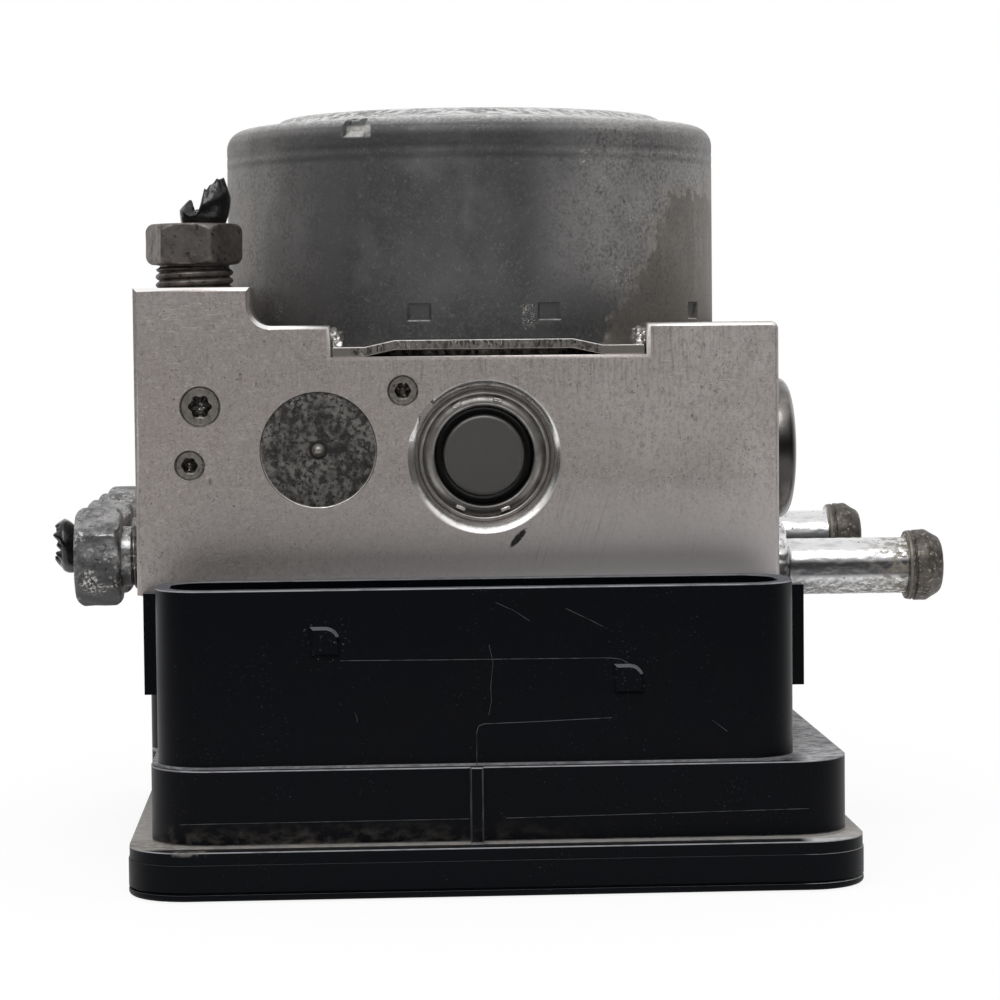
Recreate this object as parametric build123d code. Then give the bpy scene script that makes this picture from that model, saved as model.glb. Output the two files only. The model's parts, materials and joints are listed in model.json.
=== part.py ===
from build123d import *
import math
import os

# Anti-lock brake modulator: pump motor on a drilled aluminium valve block, on a moulded control unit.
# Millimetres. +Z runs up the motor shaft, +X to the hose spigots, +Y away from the plug socket.
# The origin is on the motor axis, in the plane of the control unit's bottom cover.

# ---------------------------------------------------------------- clearances
SEAT = 0.03             # radial, between a pressed or screwed piece and its hole
RUN = 0.06              # radial, between a sliding or turning piece and its bore
FACE = 0.10             # between a moving piece and the stop that it rests on
LOOSE = 0.30            # between pieces that pass each other without touching

# ---------------------------------------------------------------- control unit
COVER_PLATE = 1.0       # cover's visible band
COVER_GROOVE = 0.4      # height of the weld groove above it
COVER_GROOVE_DEPTH = 0.7
COVER_EDGE = 0.6        # rounding of the cover's lower edge
COVER_LIP = 1.6         # lip that stands up inside the flange
FLANGE_OVER_LEFT = 0.8  # how far the flange stands out past the valve block's sides
FLANGE_OVER_RIGHT = 9.9
FLANGE_OVER_BACK = 5.0
FLANGE_OVER_SHROUD = 5.0
FLANGE_TOP = 7.2
FLANGE_CORNER = 9.0
FLANGE_LINE_DROP = 1.9  # the fine step below the flange's top edge
FLANGE_LINE_STEP = 0.15
MID_INSET_LEFT = 3.3    # middle step, in from the flange's sides
MID_INSET_RIGHT = 2.2
MID_INSET_FRONT = 3.5
MID_INSET_BACK = 3.0
MID_TOP = 18.5
MID_CORNER = 9.0
MID_RIB_X = -2.7
MID_RIB_WIDTH = 1.8
MID_RIB_PROUD = 0.7
UNIT_WALL = 2.4
CHAMBER_CORNER = 5.0
CHAMBER_INSET = 1.6     # coil chamber's outside, in from the block's sides
GASKET = 0.8
GASKET_WIDTH = 2.0
SHROUD_INSET_LEFT = 3.5     # plug shroud, in from the valve block's sides
SHROUD_INSET_RIGHT = 0.1
SHROUD_DEPTH = 19.7
SHROUD_TOP = 44.6
SHROUD_WALL = 2.0
SHROUD_FLOOR = 2.0
SHROUD_CORNER = 7.5
SHROUD_GAP = 0.3        # between the shroud's back and the block
EAR_OVER_LEFT = 2.4     # ears beside the shroud, out from its sides
EAR_OVER_RIGHT = 3.2
EAR_BOTTOM = 27.7
EAR_TOP = 43.0
EAR_DEPTH = 3.2
LATCH_SIZE = 4.4        # the two D-shaped latch marks in the shroud's front
LATCH_PROUD = 0.7
LATCH_EDGE = 0.45
LATCH_LOWER_LEFTS = [(-26.8, 34.8), (17.6, 28.7)]
BOARD_BOTTOM = 4.2
BOARD_THICK = 1.6
BOARD_GAP = 1.5         # from the board's edge to the walls
BOARD_POST_R = 2.2
PIN_COLUMNS = 18
PIN_ROWS = 2
PIN_PITCH = 3.2
PIN_ROW_PITCH = 5.0
PIN_SIZE = 0.64
PIN_TOP = 34.0
PIN_INSET = 12.8        # from the shroud's left side to the first contact
BLADE_PITCH = 5.6
BLADE_WIDTH = 2.8
BLADE_THICK = 0.8
BLADE_COLUMNS = 2
LATCH_ROUND = 0.5       # share of a latch mark's side that its corner takes
UNIT_SCREW_R = 2.5
UNIT_SCREW_HEAD_R = 4.1
UNIT_SCREW_HEAD = 3.0
UNIT_SCREW_BITE = 11.0  # how far the screws reach into the block
UNIT_SCREW_INSET_X = 8.2
UNIT_SCREW_INSET_Y = 6.8
UNIT_BOSS_R = 5.6
UNIT_BOSS_FLOOR = 7.2
KEY_RECESS = 0.5        # share of a screw head's height that its socket is deep

# ---------------------------------------------------------------- valve block
BLOCK_LEFT = -53.0
BLOCK_RIGHT = 45.0
BLOCK_DEPTH = 90.0
BLOCK_BOTTOM = 30.0
BLOCK_HEIGHT = 53.0
SHOULDER_WIDTH = 17.6
SHOULDER_RISE = 5.9
SHOULDER_FILLET = 3.2
BLOCK_CORNER = 1.2      # rounding of the upper right and shoulder corners
BLOCK_CHAMFER = 0.6
POCKET_LEFT = -23.3
POCKET_RIGHT = 24.8
POCKET_DEPTH = 4.8

# ---------------------------------------------------------------- pump
PUMP_DROP = 15.3        # pump axis, down from the pocket's floor
CHAMBER_R = 11.0
CHAMBER_DROP = 10.9     # eccentric chamber's floor, down from the pump axis
ECCENTRICITY = 0.8
JOURNAL_R = 6.0
RING_R = 9.0
RING_HEIGHT = 10.0
PISTON_R = 4.2
PISTON_GAP = 3.1        # between the piston and the plug
PUMP_PLUG_R = 7.75
PUMP_PLUG_DEPTH = 18.0  # depths below the block's face
PUMP_FLANGE_DEPTH = 5.0
PUMP_FLANGE_SINK = 2.4
PUMP_FACE_SINK = 3.3
PUMP_GROOVE_SINK = 5.4
PUMP_FACE_R = 6.3
PUMP_FACE_EDGE = 0.4
PUMP_FLANGE_R = 10.15
PUMP_FLANGE_LIP = 0.6   # width of the flange's outer lip and of the fine groove inside it
PUMP_FLANGE_DISH = 0.5
PUMP_MOUTH_R = 11.8
SPRING_WELL_R = 3.9
SPRING_WELL = 4.0
PUMP_SPRING_R = 3.0
PUMP_SPRING_WIRE = 0.8
PUMP_SPRING_TURNS = 4

# ---------------------------------------------------------------- low-pressure accumulators
ACC_INSET = 27.7        # from the block's left side
ACC_DROP = 14.1         # down from the pocket's floor
ACC_COVER_R = 8.875
ACC_COVER = 3.2
ACC_NUB_R = 0.6
ACC_BORE_R = 7.9
ACC_FLOOR = 20.0        # distance from the motor axis to the bore's floor
ACC_PISTON = 8.0
ACC_CUP_R = 6.4
ACC_CUP = 4.2
ACC_GROOVE = 0.9
ACC_SPRING_R = 5.2
ACC_SPRING_WIRE = 1.2
ACC_SPRING_TURNS = 5

# ---------------------------------------------------------------- valves
VALVE_COLUMN_COUNT = 4
VALVE_INSET_LEFT = 19.5
VALVE_INSET_RIGHT = 18.5
VALVE_ROW_COUNT = 3
VALVE_INSET_Y = 19.0
VALVE_R = 5.5
VALVE_DEPTH = 13.0
VALVE_COLLAR_R = 6.4
VALVE_COLLAR = 1.0
VALVE_TUBE_R = 3.3
VALVE_TUBE_WALL = 0.6
VALVE_TUBE = 17.0
ARMATURE_LENGTH = 9.0
ARMATURE_TRAVEL = 0.3
COIL_R = 8.4
COIL_BORE = 0.25        # radial, round the valve tube
COIL_TOP_GAP = 3.5      # from the block's underside
COIL_HEIGHT = 14.0
COIL_PIN = 0.8
COIL_PIN_X = 3.2
COIL_PIN_Y = 5.6

# ---------------------------------------------------------------- ports, pipe nuts and plugs
INLET_INSET_X = 8.8     # one M12 port to each side of the motor, in the shoulder
INLET_INSET_Y = 13.0
INLET_R = 5.5           # core of the M12 thread
INLET_DEPTH = 13.0
INLET_THREAD_R = 6.0
INLET_NECK = 4.1        # thread seen between the block and the hexagon
INLET_HEX_FLATS = 13.3
INLET_HEX = 6.3
INLET_HEX_TURN = 8.0
OUTLET_COUNT = 4
OUTLET_RISE = 17.7      # up from the block's underside
OUTLET_INSET_FRONT = 10.0
OUTLET_INSET_BACK = 12.5
OUTLET_R = 4.5          # core of the M10 thread
OUTLET_DEPTH = 11.5
OUTLET_THREAD_R = 5.0
OUTLET_NECK = 3.7
OUTLET_HEX_FLATS = 13.0
OUTLET_HEX = 7.1
NUT_BITE = 9.5          # thread engaged in the port
PIPE_R = 2.4
PIPE_BORE_R = 1.7
SLEEVE_R = 3.9          # torn plastic sleeve round a cut pipe
SLEEVE_BORE_GAP = 0.1   # the sleeve grips the pipe
SLEEVE_CUT = 35.0       # slope of the tear, in degrees
SLEEVE_CUT_SHARE = 0.8  # share of the stub that the tear takes off
SLEEVE_NOTCH = 2.4
STUB_PIPE_SHARE = 0.6   # share of the stub that the metal pipe fills
TOP_STUB = 7.1
SIDE_STUB = 2.9
SEALING_PLUG_LEFT_1 = 9.9       # closing plugs: in from the left side, down from the pocket's floor
SEALING_PLUG_DROP_1 = 7.3
SEALING_PLUG_R_1 = 3.1
SEALING_PLUG_LEFT_2 = 8.2
SEALING_PLUG_DROP_2 = 16.2
SEALING_PLUG_R_2 = 2.3
SEALING_PLUG_LEFT_3 = 40.6
SEALING_PLUG_DROP_3 = 5.2
SEALING_PLUG_R_3 = 2.35
SEALING_PLUG_DEPTH = 4.0
SEALING_PLUG_SINK = 0.5
SEALING_KEY_DEPTH = 1.0
SEALING_KEY_SHARE = 0.5     # key socket's radius as a share of its plug's
PASSAGE_DEPTH = 26.0
PASSAGE_SHARE = 0.7     # passage radius as a share of its plug's
CAP_GAP = 0.25          # between the cap and the spigot's collar below it
CAP_R = 10.85
CAP_PROUD = 4.2
CAP_ROUND = 1.5
CAP_SKIRT_R = 8.0
CAP_SKIRT = 5.0
CAP_WALL = 1.2
DAMPER_DEPTH = 16.0
SPIGOT_R = 4.45
SPIGOT_BORE_R = 3.2
SPIGOT_TAIL_R = 5.4
SPIGOT_TAIL = 8.0
SPIGOT_COLLAR_R = 7.4
SPIGOT_COLLAR = 2.5
BEAD_R = 5.7
BEAD_RAMP = 0.8
BEAD_LAND = 2.4
BEAD_CONE = 2.9
BEAD_NOSE_R = 3.9
SPIGOT_COLLAR_EDGE = 0.6
SPIGOT_COLLAR_TAPER = 1.6
FRONT_SPIGOT_INSET = 15.0   # from the block's front face, up from its underside, and length
FRONT_SPIGOT_RISE = 14.3
FRONT_SPIGOT_LENGTH = 27.6
BACK_SPIGOT_INSET = 50.0
BACK_SPIGOT_RISE = 16.6
BACK_SPIGOT_LENGTH = 20.6
MOUNT_HOLE_R = 2.5      # core of the M6 thread
MOUNT_HOLE_INSET_LEFT = 23.0
MOUNT_HOLE_INSET_RIGHT = 15.0
MOUNT_HOLE_RISE = 8.0
MOUNT_HOLE_DEPTH = 11.0

# ---------------------------------------------------------------- motor
PLATE = 1.5
PLATE_RIM = 1.9         # the end plate's rim outside the can
TONGUE_SINK = 0.7       # tongue's front edge, behind the block's face
TONGUE_RISE = 1.0
TONGUE_RAISED_LEFT = -13.5
TONGUE_RAISED_RIGHT = 13.6
TONGUE_SLOPE = 4.6
TONGUE_GAP = 0.25       # each side, to the pocket's walls
BEARING_CUP_R = 12.4
BEARING_CUP_WALL = 1.4
BEARING_CUP_DEPTH = 8.6
STAKE_R = 1.25
STAKE_ANGLES = [-20.0, 25.0, 65.0, 115.0, 155.0, 200.0]
CAN_R = 40.0
CAN_WALL = 1.8
CAN_HEIGHT = 37.3
CAN_SIDE_DROP = 4.9     # drops below the can's top
CAN_BEND_DROP = 2.9
CAN_SHOULDER_DROP = 2.0
CAN_STEP_DROP = 1.3
CAN_BEND_IN = 0.9       # distances in from the can's side
CAN_SHOULDER_IN = 3.4
CAN_STEP_IN = 9.0
CAN_STEP_TAPER = 1.6
CAN_STEP_EDGE = 0.8
DIMPLE_WIDTH = 3.8
DIMPLE_HEIGHT = 2.8
DIMPLE_RISE = 5.2       # up from the end plate
DIMPLE_DEPTH = 0.7
DIMPLE_ANGLES = [-57.0, -14.0, 15.2, 60.5, 123.0, 166.0, 195.2, 240.5]
SHOULDER_DIMPLE_ANGLES = [-28.0, 152.0]
SHOULDER_DIMPLE_IN = 1.2
SHOULDER_DIMPLE_DROP = 3.3
SHOULDER_DIMPLE_THICK = 1.6
UPPER_BEARING_R = 6.5
UPPER_BEARING = 5.0
UPPER_SOCKET_WALL = 1.5
LOWER_BEARING = 7.0
SHAFT_R = 4.0
SHAFT_END_GAP = 2.0     # below the shaft, to the chamber's floor
COMMUTATOR_R = 10.5
COMMUTATOR = 8.0
COMMUTATOR_BARS = 12
BAR_SLOT = 0.5
BRUSH_PLATE = 2.4
BRUSH_PLATE_GAP = 3.2   # from the can's inside
BRUSH_PLATE_HOLE_R = 13.5
BRUSH_WIDTH = 6.0
BRUSH_HEIGHT = 5.0
BRUSH_LENGTH = 9.0
BRUSH_BOX_WALL = 1.2
BRUSH_BOX_LENGTH = 14.0
CORE_HUB_R = 10.0
CORE_TOP_GAP = 2.1      # from the winding's top to the upper bearing
CORE_SLOTS = 12
SLOT_WIDTH = 6.0
TOOTH_TIP = 2.0         # thickness of the tooth's pole face
WINDING_HEAD = 3.2
WINDING_IN_R = 11.0
MAGNETS = 4
MAGNET_THICK = 6.5
MAGNET_ARC = 72.0
MAGNET_OVERHANG = 2.0   # past each end of the core
AIR_GAP = 0.8

# ---------------------------------------------------------------- worked-out places
SEAM_TOP = COVER_PLATE + COVER_GROOVE
BLOCK_FRONT = -BLOCK_DEPTH / 2
BLOCK_BACK = BLOCK_DEPTH / 2
BLOCK_TOP = BLOCK_BOTTOM + BLOCK_HEIGHT
SHOULDER_RIGHT = BLOCK_LEFT + SHOULDER_WIDTH
SHOULDER_TOP = BLOCK_TOP + SHOULDER_RISE
POCKET_FLOOR = BLOCK_TOP - POCKET_DEPTH
RIM_TOP = BLOCK_BOTTOM - GASKET
SHROUD_LEFT = BLOCK_LEFT + SHROUD_INSET_LEFT
SHROUD_RIGHT = BLOCK_RIGHT - SHROUD_INSET_RIGHT
SHROUD_BACK = BLOCK_FRONT - SHROUD_GAP
SHROUD_FRONT = SHROUD_BACK - SHROUD_DEPTH
EAR_LEFT = SHROUD_LEFT - EAR_OVER_LEFT
EAR_RIGHT = SHROUD_RIGHT + EAR_OVER_RIGHT
FLANGE_LEFT = BLOCK_LEFT - FLANGE_OVER_LEFT
FLANGE_RIGHT = BLOCK_RIGHT + FLANGE_OVER_RIGHT
FLANGE_FRONT = SHROUD_FRONT - FLANGE_OVER_SHROUD
FLANGE_BACK = BLOCK_BACK + FLANGE_OVER_BACK
MID_LEFT = FLANGE_LEFT + MID_INSET_LEFT
MID_RIGHT = FLANGE_RIGHT - MID_INSET_RIGHT
MID_FRONT = FLANGE_FRONT + MID_INSET_FRONT
MID_BACK = FLANGE_BACK - MID_INSET_BACK
CHAMBER_LEFT = BLOCK_LEFT + CHAMBER_INSET
CHAMBER_RIGHT = BLOCK_RIGHT - CHAMBER_INSET
CHAMBER_BACK = BLOCK_BACK - CHAMBER_INSET
BOARD_TOP = BOARD_BOTTOM + BOARD_THICK
PUMP_Z = POCKET_FLOOR - PUMP_DROP
CHAMBER_FLOOR = PUMP_Z - CHAMBER_DROP
PUMP_PLUG_START = BLOCK_BACK - PUMP_PLUG_DEPTH      # distances from the motor axis
PUMP_FLANGE_START = BLOCK_BACK - PUMP_FLANGE_DEPTH
PUMP_FLANGE_END = BLOCK_BACK - PUMP_FLANGE_SINK
PUMP_FACE = BLOCK_BACK - PUMP_FACE_SINK
PUMP_GROOVE_FLOOR = BLOCK_BACK - PUMP_GROOVE_SINK
PISTON_START = RING_R + ECCENTRICITY + FACE
PISTON_END = PUMP_PLUG_START - PISTON_GAP
ACC_X = BLOCK_LEFT + ACC_INSET
ACC_Z = POCKET_FLOOR - ACC_DROP
ACC_COVER_START = BLOCK_BACK - ACC_COVER
INLET_X = BLOCK_LEFT + INLET_INSET_X
INLET_Y = BLOCK_BACK - INLET_INSET_Y
OUTLET_Z = BLOCK_BOTTOM + OUTLET_RISE
FRONT_SPIGOT = (BLOCK_FRONT + FRONT_SPIGOT_INSET, BLOCK_BOTTOM + FRONT_SPIGOT_RISE, FRONT_SPIGOT_LENGTH)
BACK_SPIGOT = (BLOCK_FRONT + BACK_SPIGOT_INSET, BLOCK_BOTTOM + BACK_SPIGOT_RISE, BACK_SPIGOT_LENGTH)
CAP_Y = BLOCK_FRONT + FRONT_SPIGOT_INSET
CAP_Z = BLOCK_BOTTOM + FRONT_SPIGOT_RISE + SPIGOT_COLLAR_R + CAP_GAP + CAP_R
MOTOR_PLATE_R = CAN_R + PLATE_RIM
MOTOR_SEAT_R = MOTOR_PLATE_R + LOOSE
PLATE_TOP = POCKET_FLOOR + PLATE
TONGUE_FRONT = BLOCK_FRONT + TONGUE_SINK
CAN_TOP = PLATE_TOP + CAN_HEIGHT
ROOF = CAN_TOP - CAN_WALL
BRUSH_TOP = PLATE_TOP + BRUSH_PLATE
BRUSH_PLATE_R = CAN_R - CAN_WALL - BRUSH_PLATE_GAP
UPPER_BEARING_TOP = ROOF - LOOSE
UPPER_BEARING_BOTTOM = UPPER_BEARING_TOP - UPPER_BEARING
LOWER_BEARING_BOTTOM = POCKET_FLOOR - BEARING_CUP_DEPTH + BEARING_CUP_WALL
COMMUTATOR_BOTTOM = BRUSH_TOP
CORE_BOTTOM = COMMUTATOR_BOTTOM + COMMUTATOR + WINDING_HEAD
CORE_TOP = UPPER_BEARING_BOTTOM - CORE_TOP_GAP - WINDING_HEAD
MAGNET_OUT_R = CAN_R - CAN_WALL - SEAT
MAGNET_IN_R = MAGNET_OUT_R - MAGNET_THICK
CORE_R = MAGNET_IN_R - AIR_GAP
ARMATURE_START = -VALVE_TUBE + VALVE_TUBE_WALL + VALVE_TUBE_R / 2 + FACE   # from the block's underside


def spread(first, last, count):
    """Evenly spaced places from the first to the last."""
    return [first + (last - first) * i / (count - 1) for i in range(count)]


SEALING_PLUGS = [
    (BLOCK_LEFT + SEALING_PLUG_LEFT_1, POCKET_FLOOR - SEALING_PLUG_DROP_1, SEALING_PLUG_R_1),
    (BLOCK_LEFT + SEALING_PLUG_LEFT_2, POCKET_FLOOR - SEALING_PLUG_DROP_2, SEALING_PLUG_R_2),
    (BLOCK_LEFT + SEALING_PLUG_LEFT_3, POCKET_FLOOR - SEALING_PLUG_DROP_3, SEALING_PLUG_R_3),
]
OUTLET_ROWS = spread(BLOCK_FRONT + OUTLET_INSET_FRONT, BLOCK_BACK - OUTLET_INSET_BACK, OUTLET_COUNT)
UNIT_SCREWS = [
    (x, y)
    for x in (BLOCK_LEFT + UNIT_SCREW_INSET_X, BLOCK_RIGHT - UNIT_SCREW_INSET_X)
    for y in (BLOCK_FRONT + UNIT_SCREW_INSET_Y, BLOCK_BACK - UNIT_SCREW_INSET_Y)
]
VALVES = [
    (x, y)
    for y in spread(BLOCK_FRONT + VALVE_INSET_Y, BLOCK_BACK - VALVE_INSET_Y, VALVE_ROW_COUNT)
    for x in spread(BLOCK_LEFT + VALVE_INSET_LEFT, BLOCK_RIGHT - VALVE_INSET_RIGHT, VALVE_COLUMN_COUNT)
]


# ---------------------------------------------------------------- building helpers
def block_between(x0, x1, y0, y1, z0, z1):
    """A plain box from one corner to the other."""
    return Pos((x0 + x1) / 2, (y0 + y1) / 2, (z0 + z1) / 2) * Box(x1 - x0, y1 - y0, z1 - z0)


def slab(x0, x1, y0, y1, z0, z1, corner):
    """A plate with rounded upright corners."""
    outline = RectangleRounded(x1 - x0, y1 - y0, corner)
    return Pos((x0 + x1) / 2, (y0 + y1) / 2, z0) * extrude(outline, z1 - z0)


def rod(radius, z0, z1):
    """A cylinder on the local Z axis."""
    return Pos(0, 0, z0) * Cylinder(radius, z1 - z0, align=(Align.CENTER, Align.CENTER, Align.MIN))


def tube(outer, inner, z0, z1):
    """A round tube on the local Z axis."""
    return rod(outer, z0, z1) - rod(inner, z0, z1)


def turned(points):
    """A body of revolution about local Z from (radius, height) corners."""
    outline = Plane.XZ * make_face(Polyline(*points, close=True))
    return revolve(outline, Axis.Z)


def hexagon(flats, z0, z1, turn=0.0):
    """A hexagonal prism with its corners turned off by a 30 degree chamfer."""
    corner_r = flats / math.sqrt(3)
    prism = Pos(0, 0, z0) * extrude(Rot(0, 0, turn) * RegularPolygon(corner_r, 6), z1 - z0)
    drop = (corner_r - flats / 2) * math.tan(math.radians(30)) * 2
    lathe = turned([
        (0, z0), (flats / 2, z0), (corner_r, z0 + drop), (corner_r, z1 - drop), (flats / 2, z1), (0, z1),
    ])
    return prism & lathe


def spring(mean_r, wire, z0, z1, turns):
    """A round-wire compression spring that fits between two seats."""
    path = Pos(0, 0, z0 + wire / 2) * Helix((z1 - z0 - wire) / turns, z1 - z0 - wire, mean_r)
    section = Plane(origin=path @ 0, z_dir=path % 0) * Circle(wire / 2)
    return sweep(section, path, is_frenet=True)


def facing_y(side, x, z):
    """Turns local Z to -Y (side -1) or +Y (side 1), counted from the motor axis."""
    return Pos(x, 0, z) * Rot(-90 * side, 0, 0)


def facing_x(side, x, y, z):
    """Turns local Z to -X (side -1) or +X (side 1), counted from the given X."""
    return Pos(x, y, z) * Rot(0, 90 * side, 0)


def around(count, shape):
    """Copies of a shape spread evenly about the motor axis."""
    return [Rot(0, 0, 360 * i / count) * shape for i in range(count)]


def group(shapes):
    """Separate solids kept in one node."""
    return Compound([solid for shape in shapes for solid in shape.solids()])


# ---------------------------------------------------------------- valve block
def hydraulic_block():
    profile = Plane.XZ * make_face(Polyline(
        (BLOCK_LEFT, BLOCK_BOTTOM),
        (BLOCK_RIGHT, BLOCK_BOTTOM),
        (BLOCK_RIGHT, BLOCK_TOP),
        (SHOULDER_RIGHT, BLOCK_TOP),
        (SHOULDER_RIGHT, SHOULDER_TOP),
        (BLOCK_LEFT, SHOULDER_TOP),
        close=True,
    ))
    body = Pos(0, BLOCK_BACK, 0) * extrude(profile, BLOCK_DEPTH)
    along_y = body.edges().filter_by(Axis.Y)
    inner = along_y.filter_by_position(Axis.X, SHOULDER_RIGHT - 1, SHOULDER_RIGHT + 1)
    body = fillet(inner.sort_by(Axis.Z)[0], SHOULDER_FILLET)
    along_y = body.edges().filter_by(Axis.Y)
    outer_right = along_y.filter_by_position(Axis.X, BLOCK_RIGHT - 1, BLOCK_RIGHT + 1)
    body = fillet(outer_right.sort_by(Axis.Z)[-1], BLOCK_CORNER)

    # Motor seat, its open front pocket and the pump's eccentric chamber below it
    motor_seat = rod(MOTOR_SEAT_R, POCKET_FLOOR, SHOULDER_TOP + 1)
    pocket = block_between(POCKET_LEFT, POCKET_RIGHT, BLOCK_FRONT - 1, 0, POCKET_FLOOR, SHOULDER_TOP)
    cup_seat = rod(BEARING_CUP_R + SEAT, POCKET_FLOOR - BEARING_CUP_DEPTH, POCKET_FLOOR)
    chamber = rod(CHAMBER_R, CHAMBER_FLOOR, POCKET_FLOOR)
    body -= [motor_seat, pocket, cup_seat, chamber]

    # Chamfered outline of the front and back faces
    front = body.faces().filter_by(Axis.Y).sort_by(Axis.Y)[0]
    back = body.faces().filter_by(Axis.Y).sort_by(Axis.Y)[-1]
    rims = [
        edge
        for face in (front, back)
        for edge in face.edges()
        if edge.center().Z > BLOCK_BOTTOM + 1
    ]
    body = chamfer(rims, BLOCK_CHAMFER)

    # Pump bores with their stepped mouths, and the accumulators' bores
    mouth_end = BLOCK_BACK - PUMP_MOUTH_R + PUMP_FLANGE_R + SEAT
    pump_bore = turned([
        (0, 0),
        (PISTON_R + RUN, 0),
        (PISTON_R + RUN, PUMP_PLUG_START),
        (PUMP_PLUG_R + SEAT, PUMP_PLUG_START),
        (PUMP_PLUG_R + SEAT, PUMP_FLANGE_START),
        (PUMP_FLANGE_R + SEAT, PUMP_FLANGE_START),
        (PUMP_FLANGE_R + SEAT, mouth_end),
        (PUMP_MOUTH_R, BLOCK_BACK),
        (PUMP_MOUTH_R, BLOCK_BACK + 1),
        (0, BLOCK_BACK + 1),
    ])
    accumulator_bore = turned([
        (0, ACC_FLOOR),
        (ACC_BORE_R, ACC_FLOOR),
        (ACC_BORE_R, ACC_COVER_START),
        (ACC_COVER_R + SEAT, ACC_COVER_START),
        (ACC_COVER_R + SEAT, BLOCK_BACK + 1),
        (0, BLOCK_BACK + 1),
    ])
    bores = []
    for side in (-1, 1):
        bores.append(facing_y(side, 0, PUMP_Z) * pump_bore)
        bores.append(facing_y(side, ACC_X, ACC_Z) * accumulator_bore)

    # Drilled passages closed by the small sealing plugs
    for x, z, radius in SEALING_PLUGS:
        plug_seat = rod(radius + SEAT, BLOCK_BACK - SEALING_PLUG_DEPTH, BLOCK_BACK + 1)
        passage = rod(radius * PASSAGE_SHARE, BLOCK_BACK - PASSAGE_DEPTH, BLOCK_BACK)
        bores.append(facing_y(-1, x, z) * (plug_seat + passage))

    # Pipe ports
    for y in (-INLET_Y, INLET_Y):
        bores.append(Pos(INLET_X, y, SHOULDER_TOP) * rod(INLET_R, -INLET_DEPTH, 1))
    for y in OUTLET_ROWS:
        bores.append(facing_x(-1, BLOCK_LEFT, y, OUTLET_Z) * rod(OUTLET_R, -OUTLET_DEPTH, 1))

    # Right face: damper bore and spigot holes
    bores.append(facing_x(1, BLOCK_RIGHT, CAP_Y, CAP_Z) * rod(CAP_SKIRT_R + SEAT, -DAMPER_DEPTH, 1))
    for y, z, _ in (FRONT_SPIGOT, BACK_SPIGOT):
        bores.append(facing_x(1, BLOCK_RIGHT, y, z) * rod(SPIGOT_TAIL_R + SEAT, -SPIGOT_TAIL - FACE, 1))

    # Underside: valve seats and the control unit's screw holes
    for x, y in VALVES:
        bores.append(Pos(x, y, BLOCK_BOTTOM) * rod(VALVE_R + SEAT, -1, VALVE_DEPTH))
    for x, y in UNIT_SCREWS:
        bores.append(Pos(x, y, BLOCK_BOTTOM) * rod(UNIT_SCREW_R + SEAT, -1, UNIT_SCREW_BITE + 1))

    # Threaded mounting holes in the back face
    mount_hole = rod(MOUNT_HOLE_R, BLOCK_BACK - MOUNT_HOLE_DEPTH, BLOCK_BACK + 1)
    for x in (BLOCK_LEFT + MOUNT_HOLE_INSET_LEFT, BLOCK_RIGHT - MOUNT_HOLE_INSET_RIGHT):
        bores.append(facing_y(1, x, BLOCK_BOTTOM + MOUNT_HOLE_RISE) * mount_hole)
    body -= bores

    # Metal staked over the motor's end plate
    stake_z = PLATE_TOP + STAKE_R + SEAT
    stake = Sphere(STAKE_R)
    stakes = [Pos(x, TONGUE_FRONT + 2 * STAKE_R, stake_z) * stake for x in (POCKET_LEFT, POCKET_RIGHT)]
    stakes += [Rot(0, 0, angle) * Pos(MOTOR_SEAT_R, 0, stake_z) * stake for angle in STAKE_ANGLES]
    return body + stakes


# ---------------------------------------------------------------- motor
def motor_end_plate():
    disc = rod(MOTOR_PLATE_R, POCKET_FLOOR, PLATE_TOP)
    left = POCKET_LEFT + TONGUE_GAP
    right = POCKET_RIGHT - TONGUE_GAP
    low = POCKET_FLOOR
    high = POCKET_FLOOR + TONGUE_RISE
    lower_side = [
        (left, low),
        (TONGUE_RAISED_LEFT - TONGUE_SLOPE, low),
        (TONGUE_RAISED_LEFT, high),
        (TONGUE_RAISED_RIGHT, high),
        (TONGUE_RAISED_RIGHT + TONGUE_SLOPE, low),
        (right, low),
    ]
    upper_side = [(x, z + PLATE) for x, z in reversed(lower_side)]
    strip = Plane.XZ * make_face(Polyline(*lower_side, *upper_side, close=True))
    tongue = extrude(strip, -TONGUE_FRONT) - rod(CAN_R + LOOSE, POCKET_FLOOR - 1, CAN_TOP)
    cup_bottom = POCKET_FLOOR - BEARING_CUP_DEPTH
    cup = rod(BEARING_CUP_R, cup_bottom, POCKET_FLOOR)
    cup_inside = rod(BEARING_CUP_R - BEARING_CUP_WALL, cup_bottom + BEARING_CUP_WALL, PLATE_TOP + 1)
    shaft_hole = rod(BEARING_CUP_R - 2 * BEARING_CUP_WALL, cup_bottom - 1, PLATE_TOP)
    return disc + tongue + cup - cup_inside - shaft_hole


def can_outline(inset, floor):
    """Half section of the drawn can, moved inwards for its inside."""
    side = CAN_R - inset
    step = CAN_R - CAN_STEP_IN - inset
    side_top = CAN_TOP - CAN_SIDE_DROP - inset / 2
    shoulder = (side - CAN_SHOULDER_IN, CAN_TOP - CAN_SHOULDER_DROP - inset)
    bend = ThreePointArc(
        (side, side_top),
        (side - CAN_BEND_IN, CAN_TOP - CAN_BEND_DROP - inset / 2),
        shoulder,
    )
    crown = Polyline(
        shoulder,
        (step + CAN_STEP_TAPER, CAN_TOP - CAN_STEP_DROP - inset),
        (step - CAN_STEP_EDGE, CAN_TOP - inset),
        (0, CAN_TOP - inset),
        (0, floor),
    )
    return Plane.XZ * make_face(Polyline((0, floor), (side, floor), (side, side_top)) + bend + crown)


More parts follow.
